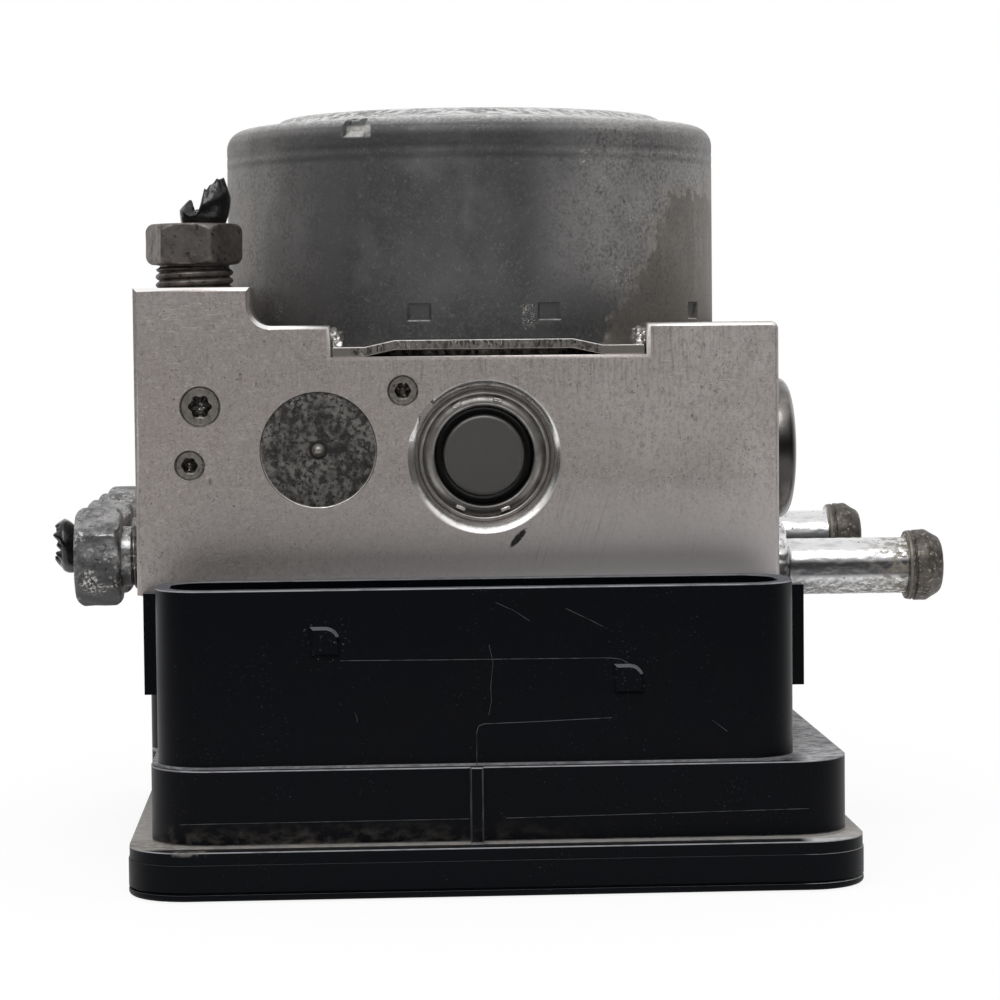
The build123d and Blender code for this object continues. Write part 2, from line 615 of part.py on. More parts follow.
def motor_can():
    outside = revolve(can_outline(0, PLATE_TOP), Axis.Z)
    inside = revolve(can_outline(CAN_WALL, PLATE_TOP - 1), Axis.Z)
    socket_r = UPPER_BEARING_R + SEAT
    socket = tube(socket_r + UPPER_SOCKET_WALL, socket_r, UPPER_BEARING_BOTTOM, ROOF + CAN_WALL / 2)
    dimple_bottom = PLATE_TOP + DIMPLE_RISE
    dimple = block_between(
        -DIMPLE_WIDTH / 2, DIMPLE_WIDTH / 2,
        -CAN_R - 1, -CAN_R + DIMPLE_DEPTH,
        dimple_bottom, dimple_bottom + DIMPLE_HEIGHT,
    )
    notch = Rot(45, 0, 0) * Box(DIMPLE_WIDTH, DIMPLE_WIDTH, SHOULDER_DIMPLE_THICK)
    notch = Pos(0, -CAN_R + SHOULDER_DIMPLE_IN, CAN_TOP - SHOULDER_DIMPLE_DROP) * notch
    dimples = [Rot(0, 0, angle) * dimple for angle in DIMPLE_ANGLES]
    notches = [Rot(0, 0, angle) * notch for angle in SHOULDER_DIMPLE_ANGLES]
    return outside - inside + socket - (dimples + notches)


def motor_magnets():
    ring = tube(MAGNET_OUT_R, MAGNET_IN_R, CORE_BOTTOM - MAGNET_OVERHANG, CORE_TOP + MAGNET_OVERHANG)
    reach = 2 * CAN_R
    half = math.radians(MAGNET_ARC / 2)
    corner_x = reach * math.cos(half)
    corner_y = reach * math.sin(half)
    sector = make_face(Polyline((0, 0), (corner_x, -corner_y), (corner_x, corner_y), close=True))
    return group(around(MAGNETS, ring & extrude(sector, CAN_TOP)))


def upper_bearing():
    return tube(UPPER_BEARING_R, SHAFT_R + RUN, UPPER_BEARING_BOTTOM, UPPER_BEARING_TOP)


def lower_bearing():
    outer = BEARING_CUP_R - BEARING_CUP_WALL - SEAT
    return tube(outer, SHAFT_R + RUN, LOWER_BEARING_BOTTOM, LOWER_BEARING_BOTTOM + LOWER_BEARING)


def rotor_shaft():
    ring_bottom = PUMP_Z - RING_HEIGHT / 2
    shaft = rod(SHAFT_R, CHAMBER_FLOOR + SHAFT_END_GAP, UPPER_BEARING_TOP - FACE)
    journal = Pos(0, ECCENTRICITY, 0) * rod(JOURNAL_R, ring_bottom, ring_bottom + RING_HEIGHT)
    return shaft + journal


def eccentric_ring():
    ring_bottom = PUMP_Z - RING_HEIGHT / 2
    return Pos(0, ECCENTRICITY, 0) * tube(RING_R, JOURNAL_R + RUN, ring_bottom, ring_bottom + RING_HEIGHT)


def commutator():
    body = tube(COMMUTATOR_R, SHAFT_R + SEAT, COMMUTATOR_BOTTOM, COMMUTATOR_BOTTOM + COMMUTATOR)
    slot = block_between(
        COMMUTATOR_R - BAR_SLOT, COMMUTATOR_R + 1,
        -BAR_SLOT / 2, BAR_SLOT / 2,
        COMMUTATOR_BOTTOM - 1, COMMUTATOR_BOTTOM + COMMUTATOR + 1,
    )
    return body - around(COMMUTATOR_BARS, slot)


def core_slot(clear, z0, z1):
    """One winding slot: open mouth at the rim, wide space behind the pole faces."""
    mouth = SLOT_WIDTH / 4 - clear
    half = SLOT_WIDTH / 2 - clear
    back = CORE_HUB_R + 1 + clear
    space_out = CORE_R - TOOTH_TIP - clear
    taper = half * back / space_out
    outline = make_face(Polyline(
        (back, -taper), (space_out, -half), (space_out, half), (back, taper), close=True,
    ))
    opening = block_between(space_out - 1, CORE_R + 1, -mouth, mouth, z0, z1)
    return Pos(0, 0, z0) * extrude(outline, z1 - z0), opening


def armature_core():
    core = tube(CORE_R, SHAFT_R + SEAT, CORE_BOTTOM, CORE_TOP)
    space, opening = core_slot(0, CORE_BOTTOM - 1, CORE_TOP + 1)
    return core - around(CORE_SLOTS, space + opening)


def armature_windings():
    outer = CORE_R - TOOTH_TIP
    upper = tube(outer, WINDING_IN_R, CORE_TOP + SEAT, CORE_TOP + WINDING_HEAD)
    lower = tube(outer, WINDING_IN_R, CORE_BOTTOM - WINDING_HEAD + SEAT, CORE_BOTTOM - SEAT)
    space, opening = core_slot(LOOSE / 2, CORE_BOTTOM - 1, CORE_TOP + 1)
    return upper + [lower] + around(CORE_SLOTS, space)


def brush_holder():
    plate = tube(BRUSH_PLATE_R, BRUSH_PLATE_HOLE_R, PLATE_TOP, BRUSH_TOP)
    start = COMMUTATOR_R + LOOSE + 2
    half = BRUSH_WIDTH / 2 + SEAT
    box = block_between(
        start, start + BRUSH_BOX_LENGTH,
        -half - BRUSH_BOX_WALL, half + BRUSH_BOX_WALL,
        BRUSH_TOP - BRUSH_PLATE / 2, BRUSH_TOP + BRUSH_HEIGHT + BRUSH_BOX_WALL,
    )
    way = block_between(
        start - 1, start + BRUSH_BOX_LENGTH + 1, -half, half, BRUSH_TOP, BRUSH_TOP + BRUSH_HEIGHT + SEAT,
    )
    holder = plate
    for turn in (0, 180):
        holder += Rot(0, 0, turn) * box
    for turn in (0, 180):
        holder -= Rot(0, 0, turn) * way
    return holder


def motor_brushes():
    start = COMMUTATOR_R + FACE
    brush = block_between(
        start, start + BRUSH_LENGTH, -BRUSH_WIDTH / 2, BRUSH_WIDTH / 2, BRUSH_TOP, BRUSH_TOP + BRUSH_HEIGHT,
    )
    return group([Rot(0, 0, turn) * brush for turn in (0, 180)])


# ---------------------------------------------------------------- pump
def pump_piston(side):
    return facing_y(side, 0, PUMP_Z) * rod(PISTON_R, PISTON_START, PISTON_END)


def pump_spring(side):
    seat = PUMP_PLUG_START + SPRING_WELL
    coil = spring(PUMP_SPRING_R, PUMP_SPRING_WIRE, PISTON_END, seat, PUMP_SPRING_TURNS)
    return facing_y(side, 0, PUMP_Z) * coil


def pump_plug(side):
    """Flanged plug: fine lip and groove, dished ring, deep groove and a plain centre face."""
    lip_r = PUMP_FLANGE_R - PUMP_FLANGE_LIP
    dish_r = lip_r - PUMP_FLANGE_LIP
    body = turned([
        (0, PUMP_PLUG_START + SPRING_WELL),
        (SPRING_WELL_R, PUMP_PLUG_START + SPRING_WELL),
        (SPRING_WELL_R, PUMP_PLUG_START),
        (PUMP_PLUG_R, PUMP_PLUG_START),
        (PUMP_PLUG_R, PUMP_FLANGE_START),
        (PUMP_FLANGE_R, PUMP_FLANGE_START),
        (PUMP_FLANGE_R, PUMP_FLANGE_END),
        (lip_r, PUMP_FLANGE_END),
        (lip_r, PUMP_FLANGE_END - PUMP_FLANGE_DISH),
        (dish_r, PUMP_FLANGE_END - PUMP_FLANGE_DISH),
        (dish_r, PUMP_FLANGE_END - PUMP_FLANGE_DISH / 2),
        (PUMP_PLUG_R, PUMP_FLANGE_END - PUMP_FLANGE_DISH),
        (PUMP_PLUG_R - PUMP_FACE_EDGE, PUMP_GROOVE_FLOOR),
        (PUMP_FACE_R, PUMP_GROOVE_FLOOR),
        (PUMP_FACE_R, PUMP_FACE - PUMP_FACE_EDGE),
        (PUMP_FACE_R - PUMP_FACE_EDGE, PUMP_FACE),
        (0, PUMP_FACE),
    ])
    return facing_y(side, 0, PUMP_Z) * body


# ---------------------------------------------------------------- accumulators
def accumulator_cover(side):
    body = rod(ACC_COVER_R, ACC_COVER_START, BLOCK_BACK)
    body += Pos(0, 0, BLOCK_BACK) * Sphere(ACC_NUB_R)
    return facing_y(side, ACC_X, ACC_Z) * body


def accumulator_piston(side):
    start = ACC_FLOOR + FACE
    end = start + ACC_PISTON
    middle = start + ACC_PISTON / 2
    body = turned([
        (0, start),
        (ACC_BORE_R - RUN, start),
        (ACC_BORE_R - RUN, middle - ACC_GROOVE),
        (ACC_BORE_R - ACC_GROOVE, middle - ACC_GROOVE),
        (ACC_BORE_R - ACC_GROOVE, middle + ACC_GROOVE),
        (ACC_BORE_R - RUN, middle + ACC_GROOVE),
        (ACC_BORE_R - RUN, end),
        (ACC_CUP_R, end),
        (ACC_CUP_R, end - ACC_CUP),
        (0, end - ACC_CUP),
    ])
    return facing_y(side, ACC_X, ACC_Z) * body


def accumulator_spring(side):
    seat = ACC_FLOOR + FACE + ACC_PISTON - ACC_CUP
    coil = spring(ACC_SPRING_R, ACC_SPRING_WIRE, seat, ACC_COVER_START, ACC_SPRING_TURNS)
    return facing_y(side, ACC_X, ACC_Z) * coil


# ---------------------------------------------------------------- valves
def valve_cartridge():
    """A solenoid valve about local Z, with Z 0 at the block's underside and the blind tube below."""
    inner = VALVE_TUBE_R - VALVE_TUBE_WALL
    dome = VALVE_TUBE_R / 2
    ceiling = ARMATURE_START + ARMATURE_LENGTH + ARMATURE_TRAVEL + FACE
    return turned([
        (0, VALVE_DEPTH),
        (VALVE_R, VALVE_DEPTH),
        (VALVE_R, 0),
        (VALVE_COLLAR_R, 0),
        (VALVE_COLLAR_R, -VALVE_COLLAR),
        (VALVE_TUBE_R, -VALVE_COLLAR),
        (VALVE_TUBE_R, -VALVE_TUBE + dome),
        (dome, -VALVE_TUBE),
        (0, -VALVE_TUBE),
        (0, -VALVE_TUBE + VALVE_TUBE_WALL),
        (dome, -VALVE_TUBE + VALVE_TUBE_WALL),
        (inner, ARMATURE_START - FACE),
        (inner, ceiling),
        (0, ceiling),
    ])


def valve_cartridges():
    return group([Pos(x, y, BLOCK_BOTTOM) * valve_cartridge() for x, y in VALVES])


def valve_armature(x, y):
    radius = VALVE_TUBE_R - VALVE_TUBE_WALL - RUN
    return Pos(x, y, BLOCK_BOTTOM) * rod(radius, ARMATURE_START, ARMATURE_START + ARMATURE_LENGTH)


def valve_coils():
    top = BLOCK_BOTTOM - COIL_TOP_GAP
    bottom = top - COIL_HEIGHT
    coil = tube(COIL_R, VALVE_TUBE_R + COIL_BORE, bottom, top)
    pin_top = bottom + 1
    pin = Box(COIL_PIN, COIL_PIN, pin_top - BOARD_TOP)
    for x in (-COIL_PIN_X, COIL_PIN_X):
        coil += Pos(x, COIL_PIN_Y, (BOARD_TOP + pin_top) / 2) * pin
    return group([Pos(x, y, 0) * coil for x, y in VALVES])


# ---------------------------------------------------------------- nuts, pipes, plugs, cap, spigots
def pipe_nut(thread_r, core_r, neck, flats, height, turn):
    """A pipe nut about local Z, with Z 0 at the port's face."""
    nut = rod(core_r - SEAT, -NUT_BITE, FACE) + rod(thread_r, FACE, neck)
    nut += hexagon(flats, neck, neck + height, turn)
    return nut - rod(PIPE_R + SEAT, -NUT_BITE - 1, neck + height + 1)


def top_tube_nut():
    nut = pipe_nut(INLET_THREAD_R, INLET_R, INLET_NECK, INLET_HEX_FLATS, INLET_HEX, INLET_HEX_TURN)
    return Pos(INLET_X, -INLET_Y, SHOULDER_TOP) * nut


def side_tube_nut(y):
    nut = pipe_nut(OUTLET_THREAD_R, OUTLET_R, OUTLET_NECK, OUTLET_HEX_FLATS, OUTLET_HEX, 0)
    return facing_x(-1, BLOCK_LEFT, y, OUTLET_Z) * nut


def torn_pipe(top, length):
    """A cut pipe in its nut with the torn sleeve left standing round it, about local Z."""
    pipe = tube(PIPE_R, PIPE_BORE_R, -NUT_BITE, top + length * STUB_PIPE_SHARE)
    sleeve = tube(SLEEVE_R, PIPE_R - SLEEVE_BORE_GAP, top + SEAT, top + length)
    tear = Rot(0, SLEEVE_CUT, 0) * Box(SLEEVE_R * 3, SLEEVE_R * 3, length * SLEEVE_CUT_SHARE)
    notch = Rot(0, 45, 0) * Box(SLEEVE_NOTCH, SLEEVE_R, SLEEVE_NOTCH)
    tear = Pos(SLEEVE_R, 0, top + length) * tear
    notch = Pos(-SLEEVE_R / 2, -SLEEVE_R, top + length) * notch
    return pipe + (sleeve - tear - notch)


def top_pipe_stub():
    return Pos(INLET_X, -INLET_Y, SHOULDER_TOP) * torn_pipe(INLET_NECK + INLET_HEX, TOP_STUB)


def side_pipe_stub():
    stub = torn_pipe(OUTLET_NECK + OUTLET_HEX, SIDE_STUB)
    return facing_x(-1, BLOCK_LEFT, OUTLET_ROWS[0], OUTLET_Z) * stub


def sealing_plugs():
    plugs = []
    for x, z, radius in SEALING_PLUGS:
        face = BLOCK_BACK - SEALING_PLUG_SINK
        body = rod(radius, BLOCK_BACK - SEALING_PLUG_DEPTH, face)
        key = extrude(RegularPolygon(radius * SEALING_KEY_SHARE, 6), SEALING_PLUG_DEPTH)
        plugs.append(facing_y(-1, x, z) * (body - Pos(0, 0, face - SEALING_KEY_DEPTH) * key))
    return group(plugs)


def side_cap():
    crown = rod(CAP_R, FACE, CAP_PROUD)
    crown = fillet(crown.edges().sort_by(Axis.Z)[-1], CAP_ROUND)
    skirt = rod(CAP_SKIRT_R, -CAP_SKIRT, FACE)
    hollow = rod(CAP_SKIRT_R - CAP_WALL, -CAP_SKIRT - 1, CAP_PROUD - CAP_WALL)
    return facing_x(1, BLOCK_RIGHT, CAP_Y, CAP_Z) * (crown + skirt - hollow)


def hose_spigot(place):
    y, z, length = place
    body = turned([
        (SPIGOT_BORE_R, -SPIGOT_TAIL),
        (SPIGOT_TAIL_R, -SPIGOT_TAIL),
        (SPIGOT_TAIL_R, 0),
        (SPIGOT_COLLAR_R, 0),
        (SPIGOT_COLLAR_R, SPIGOT_COLLAR - SPIGOT_COLLAR_EDGE),
        (SPIGOT_COLLAR_R - SPIGOT_COLLAR_TAPER, SPIGOT_COLLAR),
        (SPIGOT_R, SPIGOT_COLLAR),
        (SPIGOT_R, length - BEAD_CONE - BEAD_LAND - BEAD_RAMP),
        (BEAD_R, length - BEAD_CONE - BEAD_LAND),
        (BEAD_R, length - BEAD_CONE),
        (BEAD_NOSE_R, length),
        (SPIGOT_BORE_R, length),
    ])
    return facing_x(1, BLOCK_RIGHT, y, z) * body


# ---------------------------------------------------------------- control unit
def ecu_housing():
    flange = slab(
        FLANGE_LEFT, FLANGE_RIGHT, FLANGE_FRONT, FLANGE_BACK,
        SEAM_TOP, FLANGE_TOP - FLANGE_LINE_DROP, FLANGE_CORNER,
    )
    step = FLANGE_LINE_STEP
    flange += slab(
        FLANGE_LEFT + step, FLANGE_RIGHT - step, FLANGE_FRONT + step, FLANGE_BACK - step,
        SEAM_TOP, FLANGE_TOP, FLANGE_CORNER - step,
    )
    middle = slab(MID_LEFT, MID_RIGHT, MID_FRONT, MID_BACK, SEAM_TOP, MID_TOP, MID_CORNER)
    chamber = slab(
        CHAMBER_LEFT, CHAMBER_RIGHT, SHROUD_BACK, CHAMBER_BACK,
        SEAM_TOP, RIM_TOP, CHAMBER_CORNER,
    )
    shroud = slab(
        SHROUD_LEFT, SHROUD_RIGHT, SHROUD_FRONT, SHROUD_BACK,
        SEAM_TOP, SHROUD_TOP, SHROUD_CORNER,
    )
    web = block_between(
        SHROUD_LEFT, SHROUD_RIGHT, SHROUD_BACK - SHROUD_CORNER, SHROUD_BACK, SEAM_TOP, EAR_BOTTOM,
    )
    ears = block_between(EAR_LEFT, EAR_RIGHT, SHROUD_BACK - EAR_DEPTH, SHROUD_BACK, EAR_BOTTOM, EAR_TOP)
    rib = block_between(
        MID_RIB_X - MID_RIB_WIDTH / 2, MID_RIB_X + MID_RIB_WIDTH / 2,
        MID_FRONT - MID_RIB_PROUD, MID_FRONT + 1, FLANGE_TOP - 1, MID_TOP,
    )
    marks = [Pos(x, SHROUD_FRONT + 1, z) * latch_mark(1 + LATCH_PROUD) for x, z in LATCH_LOWER_LEFTS]
    bosses = [Pos(x, y, 0) * rod(UNIT_BOSS_R, SEAM_TOP, RIM_TOP) for x, y in UNIT_SCREWS]

    # Hollow inside: board space below the roof, coil chamber through to the block
    wall = UNIT_WALL
    roof = MID_TOP - UNIT_WALL
    board_space = slab(
        MID_LEFT + wall, MID_RIGHT - wall, MID_FRONT + wall, MID_BACK - wall, 0, roof, MID_CORNER - wall,
    )
    coil_space = slab(
        CHAMBER_LEFT + wall, CHAMBER_RIGHT - wall, BLOCK_FRONT + wall, CHAMBER_BACK - wall,
        0, RIM_TOP + 1, CHAMBER_CORNER - wall,
    )
    socket = slab(
        SHROUD_LEFT + SHROUD_WALL, SHROUD_RIGHT - SHROUD_WALL,
        SHROUD_FRONT + SHROUD_WALL, SHROUD_BACK - SHROUD_WALL,
        MID_TOP + SHROUD_FLOOR, SHROUD_TOP + 1, SHROUD_CORNER - SHROUD_WALL,
    )
    body = flange + [middle, chamber, shroud, web, ears, rib] + marks
    body -= [board_space, coil_space, socket]

    # Screw bosses in the chamber's corners, and terminal holes in the socket's floor
    body += bosses
    holes = []
    for x, y in UNIT_SCREWS:
        holes.append(Pos(x, y, 0) * rod(UNIT_SCREW_R + LOOSE, 0, RIM_TOP + 1))
        holes.append(Pos(x, y, 0) * rod(UNIT_SCREW_HEAD_R + LOOSE, 0, UNIT_BOSS_FLOOR))
    for x, y, width, thick in terminals():
        holes.append(block_between(
            x - width / 2, x + width / 2, y - thick / 2, y + thick / 2,
            roof - 1, MID_TOP + SHROUD_FLOOR + 1,
        ))
    return body - holes


def latch_mark(depth):
    """A pad with a square left and bottom side and a round upper right corner, raised towards -Y."""
    size = LATCH_SIZE
    bend = size * LATCH_ROUND
    outline = make_face(
        Polyline((0, size), (0, 0), (size, 0), (size, size - bend))
        + ThreePointArc(
            (size, size - bend),
            (size - bend * (1 - math.sqrt(0.5)), size - bend * (1 - math.sqrt(0.5))),
            (size - bend, size),
        )
        + Line((size - bend, size), (0, size))
    )
    pad = extrude(Plane.XZ * outline, depth)
    return chamfer(pad.faces().sort_by(Axis.Y)[0].edges(), LATCH_EDGE)


def ecu_cover():
    plate = slab(FLANGE_LEFT, FLANGE_RIGHT, FLANGE_FRONT, FLANGE_BACK, 0, COVER_PLATE, FLANGE_CORNER)
    plate = fillet(plate.edges().group_by(Axis.Z)[0], COVER_EDGE)
    inset = COVER_GROOVE_DEPTH
    plate += slab(
        FLANGE_LEFT + inset, FLANGE_RIGHT - inset, FLANGE_FRONT + inset, FLANGE_BACK - inset,
        COVER_PLATE / 2, SEAM_TOP, FLANGE_CORNER - inset,
    )
    lip_out = UNIT_WALL + SEAT
    lip_in = lip_out + UNIT_WALL / 2
    lip = slab(
        MID_LEFT + lip_out, MID_RIGHT - lip_out, MID_FRONT + lip_out, MID_BACK - lip_out,
        COVER_PLATE / 2, SEAM_TOP + COVER_LIP, MID_CORNER - lip_out,
    )
    lip -= slab(
        MID_LEFT + lip_in, MID_RIGHT - lip_in, MID_FRONT + lip_in, MID_BACK - lip_in,
        0, SEAM_TOP + COVER_LIP + 1, MID_CORNER - lip_in,
    )
    cover = plate + lip
    post = rod(BOARD_POST_R, SEAM_TOP - COVER_GROOVE, BOARD_BOTTOM)
    cover += [Pos(x, y, 0) * post for x, y in board_posts()]
    head_holes = [Pos(x, y, 0) * rod(UNIT_SCREW_HEAD_R + LOOSE, -1, BOARD_TOP) for x, y in UNIT_SCREWS]
    boss_room = [Pos(x, y, 0) * rod(UNIT_BOSS_R + LOOSE, SEAM_TOP, BOARD_TOP) for x, y in UNIT_SCREWS]
    return cover - (head_holes + boss_room)


def board_outline():
    """The circuit board's left, right, front and back edges."""
    edge = UNIT_WALL + BOARD_GAP
    return MID_LEFT + edge, MID_RIGHT - edge, MID_FRONT + edge, MID_BACK - edge


def board_posts():
    """Post centres under the board, midway between the screws and by the socket."""
    left, right, front, back = board_outline()
    inset = 3 * BOARD_POST_R
    middle = (left + right) / 2
    return [
        (left + inset, front + inset), (right - inset, front + inset),
        (left + inset, 0), (right - inset, 0), (middle, back - inset), (middle, front + inset),
    ]


def circuit_board():
    left, right, front, back = board_outline()
    board = slab(left, right, front, back, BOARD_BOTTOM, BOARD_TOP, BOARD_POST_R)
    for x, y in UNIT_SCREWS:
        board -= Pos(x, y, 0) * rod(UNIT_BOSS_R + LOOSE, 0, BOARD_TOP + 1)
    return board


def terminals():
    """Centre, width and thickness of every contact in the plug socket."""
    middle_y = (SHROUD_FRONT + SHROUD_BACK) / 2
    first_x = SHROUD_LEFT + PIN_INSET
    places = []
    for row in range(PIN_ROWS):
        y = middle_y + (row - (PIN_ROWS - 1) / 2) * PIN_ROW_PITCH
        for column in range(PIN_COLUMNS):
            places.append((first_x + column * PIN_PITCH, y, PIN_SIZE, PIN_SIZE))
        for column in range(BLADE_COLUMNS):
            x = first_x + PIN_COLUMNS * PIN_PITCH + column * BLADE_PITCH
            places.append((x, y, BLADE_WIDTH, BLADE_THICK))
    return places


def connector_pins():
    return group([
        block_between(x - width / 2, x + width / 2, y - thick / 2, y + thick / 2, BOARD_TOP, PIN_TOP)
        for x, y, width, thick in terminals()
    ])


def ecu_gasket():
    inset = CHAMBER_INSET
    outer = slab(
        BLOCK_LEFT + inset, BLOCK_RIGHT - inset, BLOCK_FRONT, BLOCK_BACK - inset,
        RIM_TOP, BLOCK_BOTTOM, CHAMBER_CORNER,
    )
    inset += GASKET_WIDTH
    inner = slab(
        BLOCK_LEFT + inset, BLOCK_RIGHT - inset, BLOCK_FRONT + GASKET_WIDTH, BLOCK_BACK - inset,
        RIM_TOP - 1, BLOCK_BOTTOM + 1, CHAMBER_CORNER - GASKET_WIDTH,
    )
    gasket = outer - inner
    for x, y in UNIT_SCREWS:
        gasket -= Pos(x, y, 0) * rod(UNIT_SCREW_R + LOOSE, RIM_TOP - 1, BLOCK_BOTTOM + 1)
    return gasket


def ecu_screws():
    head_top = UNIT_BOSS_FLOOR
    screw = rod(UNIT_SCREW_HEAD_R, head_top - UNIT_SCREW_HEAD, head_top)
    screw += rod(UNIT_SCREW_R, head_top, BLOCK_BOTTOM + UNIT_SCREW_BITE)
    socket_r = UNIT_SCREW_HEAD_R * 0.6
    screw -= Pos(0, 0, head_top - UNIT_SCREW_HEAD - 1) * extrude(
        RegularPolygon(socket_r, 6), 1 + UNIT_SCREW_HEAD * KEY_RECESS,
    )
    return group([Pos(x, y, 0) * screw for x, y in UNIT_SCREWS])


# ---------------------------------------------------------------- all nodes
nodes = {
    "hydraulic_block": hydraulic_block(),
    "motor_end_plate": motor_end_plate(),
    "motor_can": motor_can(),
    "motor_magnets": motor_magnets(),
    "upper_bearing": upper_bearing(),
    "lower_bearing": lower_bearing(),
    "brush_holder": brush_holder(),
    "motor_brushes": motor_brushes(),
    "rotor_shaft": rotor_shaft(),
    "commutator": commutator(),
    "armature_core": armature_core(),
    "armature_windings": armature_windings(),
    "eccentric_ring": eccentric_ring(),
    "valve_cartridges": valve_cartridges(),
    "valve_coils": valve_coils(),
    "sealing_plugs": sealing_plugs(),
    "top_tube_nut": top_tube_nut(),
    "top_pipe_stub": top_pipe_stub(),
    "side_pipe_stub": side_pipe_stub(),
    "side_cap": side_cap(),
    "hose_spigot_front": hose_spigot(FRONT_SPIGOT),
    "hose_spigot_back": hose_spigot(BACK_SPIGOT),
    "ecu_housing": ecu_housing(),
    "ecu_cover": ecu_cover(),
    "circuit_board": circuit_board(),
    "connector_pins": connector_pins(),
    "ecu_gasket": ecu_gasket(),
    "ecu_screws": ecu_screws(),
}
for name, side in (("front", -1), ("back", 1)):
    nodes[f"pump_piston_{name}"] = pump_piston(side)
    nodes[f"pump_spring_{name}"] = pump_spring(side)
    nodes[f"pump_plug_{name}"] = pump_plug(side)
    nodes[f"accumulator_cover_{name}"] = accumulator_cover(side)
    nodes[f"accumulator_piston_{name}"] = accumulator_piston(side)
    nodes[f"accumulator_spring_{name}"] = accumulator_spring(side)
for number, y in enumerate(OUTLET_ROWS, 1):
    nodes[f"side_tube_nut_{number}"] = side_tube_nut(y)
for number, (x, y) in enumerate(VALVES, 1):
    nodes[f"valve_armature_{number}"] = valve_armature(x, y)

os.makedirs("parts", exist_ok=True)
for name, shape in nodes.items():
    export_step(shape, f"parts/{name}.step")
    print(f"{name}: {shape.volume / 1000:.2f} cm3, {len(shape.solids())} solids")
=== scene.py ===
import json
import math

import bmesh
import bpy
from mathutils import Matrix, Vector, noise


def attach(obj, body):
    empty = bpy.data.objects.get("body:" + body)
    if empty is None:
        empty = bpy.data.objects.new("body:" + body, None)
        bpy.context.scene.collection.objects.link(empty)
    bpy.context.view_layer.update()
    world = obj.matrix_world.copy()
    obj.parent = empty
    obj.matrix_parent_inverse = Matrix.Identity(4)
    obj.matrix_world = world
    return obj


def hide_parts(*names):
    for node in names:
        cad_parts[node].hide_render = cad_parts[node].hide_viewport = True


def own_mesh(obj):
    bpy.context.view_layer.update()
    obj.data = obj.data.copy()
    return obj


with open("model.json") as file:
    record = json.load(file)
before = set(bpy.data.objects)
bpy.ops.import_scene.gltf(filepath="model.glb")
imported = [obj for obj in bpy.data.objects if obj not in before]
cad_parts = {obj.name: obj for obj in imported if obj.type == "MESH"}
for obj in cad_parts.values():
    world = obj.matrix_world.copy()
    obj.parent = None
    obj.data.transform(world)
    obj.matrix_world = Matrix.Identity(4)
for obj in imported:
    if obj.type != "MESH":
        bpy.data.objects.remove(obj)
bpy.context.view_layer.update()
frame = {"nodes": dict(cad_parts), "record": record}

# Anti-lock brake module: a drawn motor can on a milled aluminium valve block, on a black moulded control
# unit. All sizes here are millimetres, turned to Blender's metres by MM. +Z runs up the motor's shaft.

MM = 0.001
BODY = "module"

# ---------------------------------------------------------------- sizes of the finished pieces
# Motor can and end plate
PLATE_TOP = 79.7
CAN_R = 40.0
CAN_TOP = 117.0
CAN_WALL = 1.8
SHOULDER_R = 3.1        # rounding between the can's side and its shoulder
SHOULDER_Z = 111.95
DIMPLE_WIDTH = 3.8
DIMPLE_HEIGHT = 2.8
DIMPLE_DEPTH = 0.75
DIMPLE_MIDDLE = 84.9
DIMPLE_TURNS = (-66.0, -14.0, 15.2, 60.5, 123.0, 166.0, 195.2, 240.5)
NOTCH_TURNS = (-29.2, 150.8)
NOTCH_DEPTH = 2.0       # how far the notch's sill runs in, and its back wall after it
NOTCH_LEAN = 1.1
NOTCH_SILL = 1.15       # how far the sill rises, and the back wall after it
NOTCH_HEIGHT = 2.0
# Lines that the drawing die left under the shoulder: how far in, and height
DIE_LINES = ((0.05, 108.8), (0.0, 109.2), (0.0, 110.2), (0.06, 110.6), (0.0, 111.0))
# Painted shade along them and under the shoulder: height, half width and strength
DIE_LINE_SHADE = ((108.85, 0.1, 0.4), (110.55, 0.15, 0.5), (112.0, 0.6, 0.3))
STAIN_TOP = 103.4
STAIN_LEAN = 0.5        # how far the stain's left edge runs out for each mm up
STAIN_FOOT = -20.2      # where that edge would stand at height 0
STAIN_LEFT = 30.4       # the edge runs out no further than this
LINT = (    # left, right, lower and upper reach of each curl on the can's front
    (15.5, 17.1, 107.4, 109.6), (22.8, 25.4, 98.7, 102.0), (18.8, 19.8, 103.6, 105.7),
    (6.2, 8.0, 82.3, 85.9), (20.5, 23.6, 88.1, 91.7), (-31.8, -31.0, 84.0, 87.0),
)
TONGUE = (-19.5, 17.5)  # left and right end of the end plate's front tongue

# Valve block
BLOCK_LEFT = -53.0
BLOCK_RIGHT = 45.0
BLOCK_FRONT = -45.0
SHOULDER_TOP = 88.9
FOOT_TOP = 42.4         # below this the block's left face is relieved
FOOT_RELIEF = 1.35
STAKES = {  # X, Y, Z, size and seed of each lump of block metal pushed over the end plate
    "stake_left": (-23.0, -41.4, 80.9, 1.3, 4.0),
    "stake_left_small": (-22.4, -42.6, 80.3, 0.9, 9.0),
    "stake_right": (24.3, -41.6, 80.8, 1.3, 7.0),
    "stake_right_small": (23.9, -42.7, 80.2, 0.9, 12.0),
}

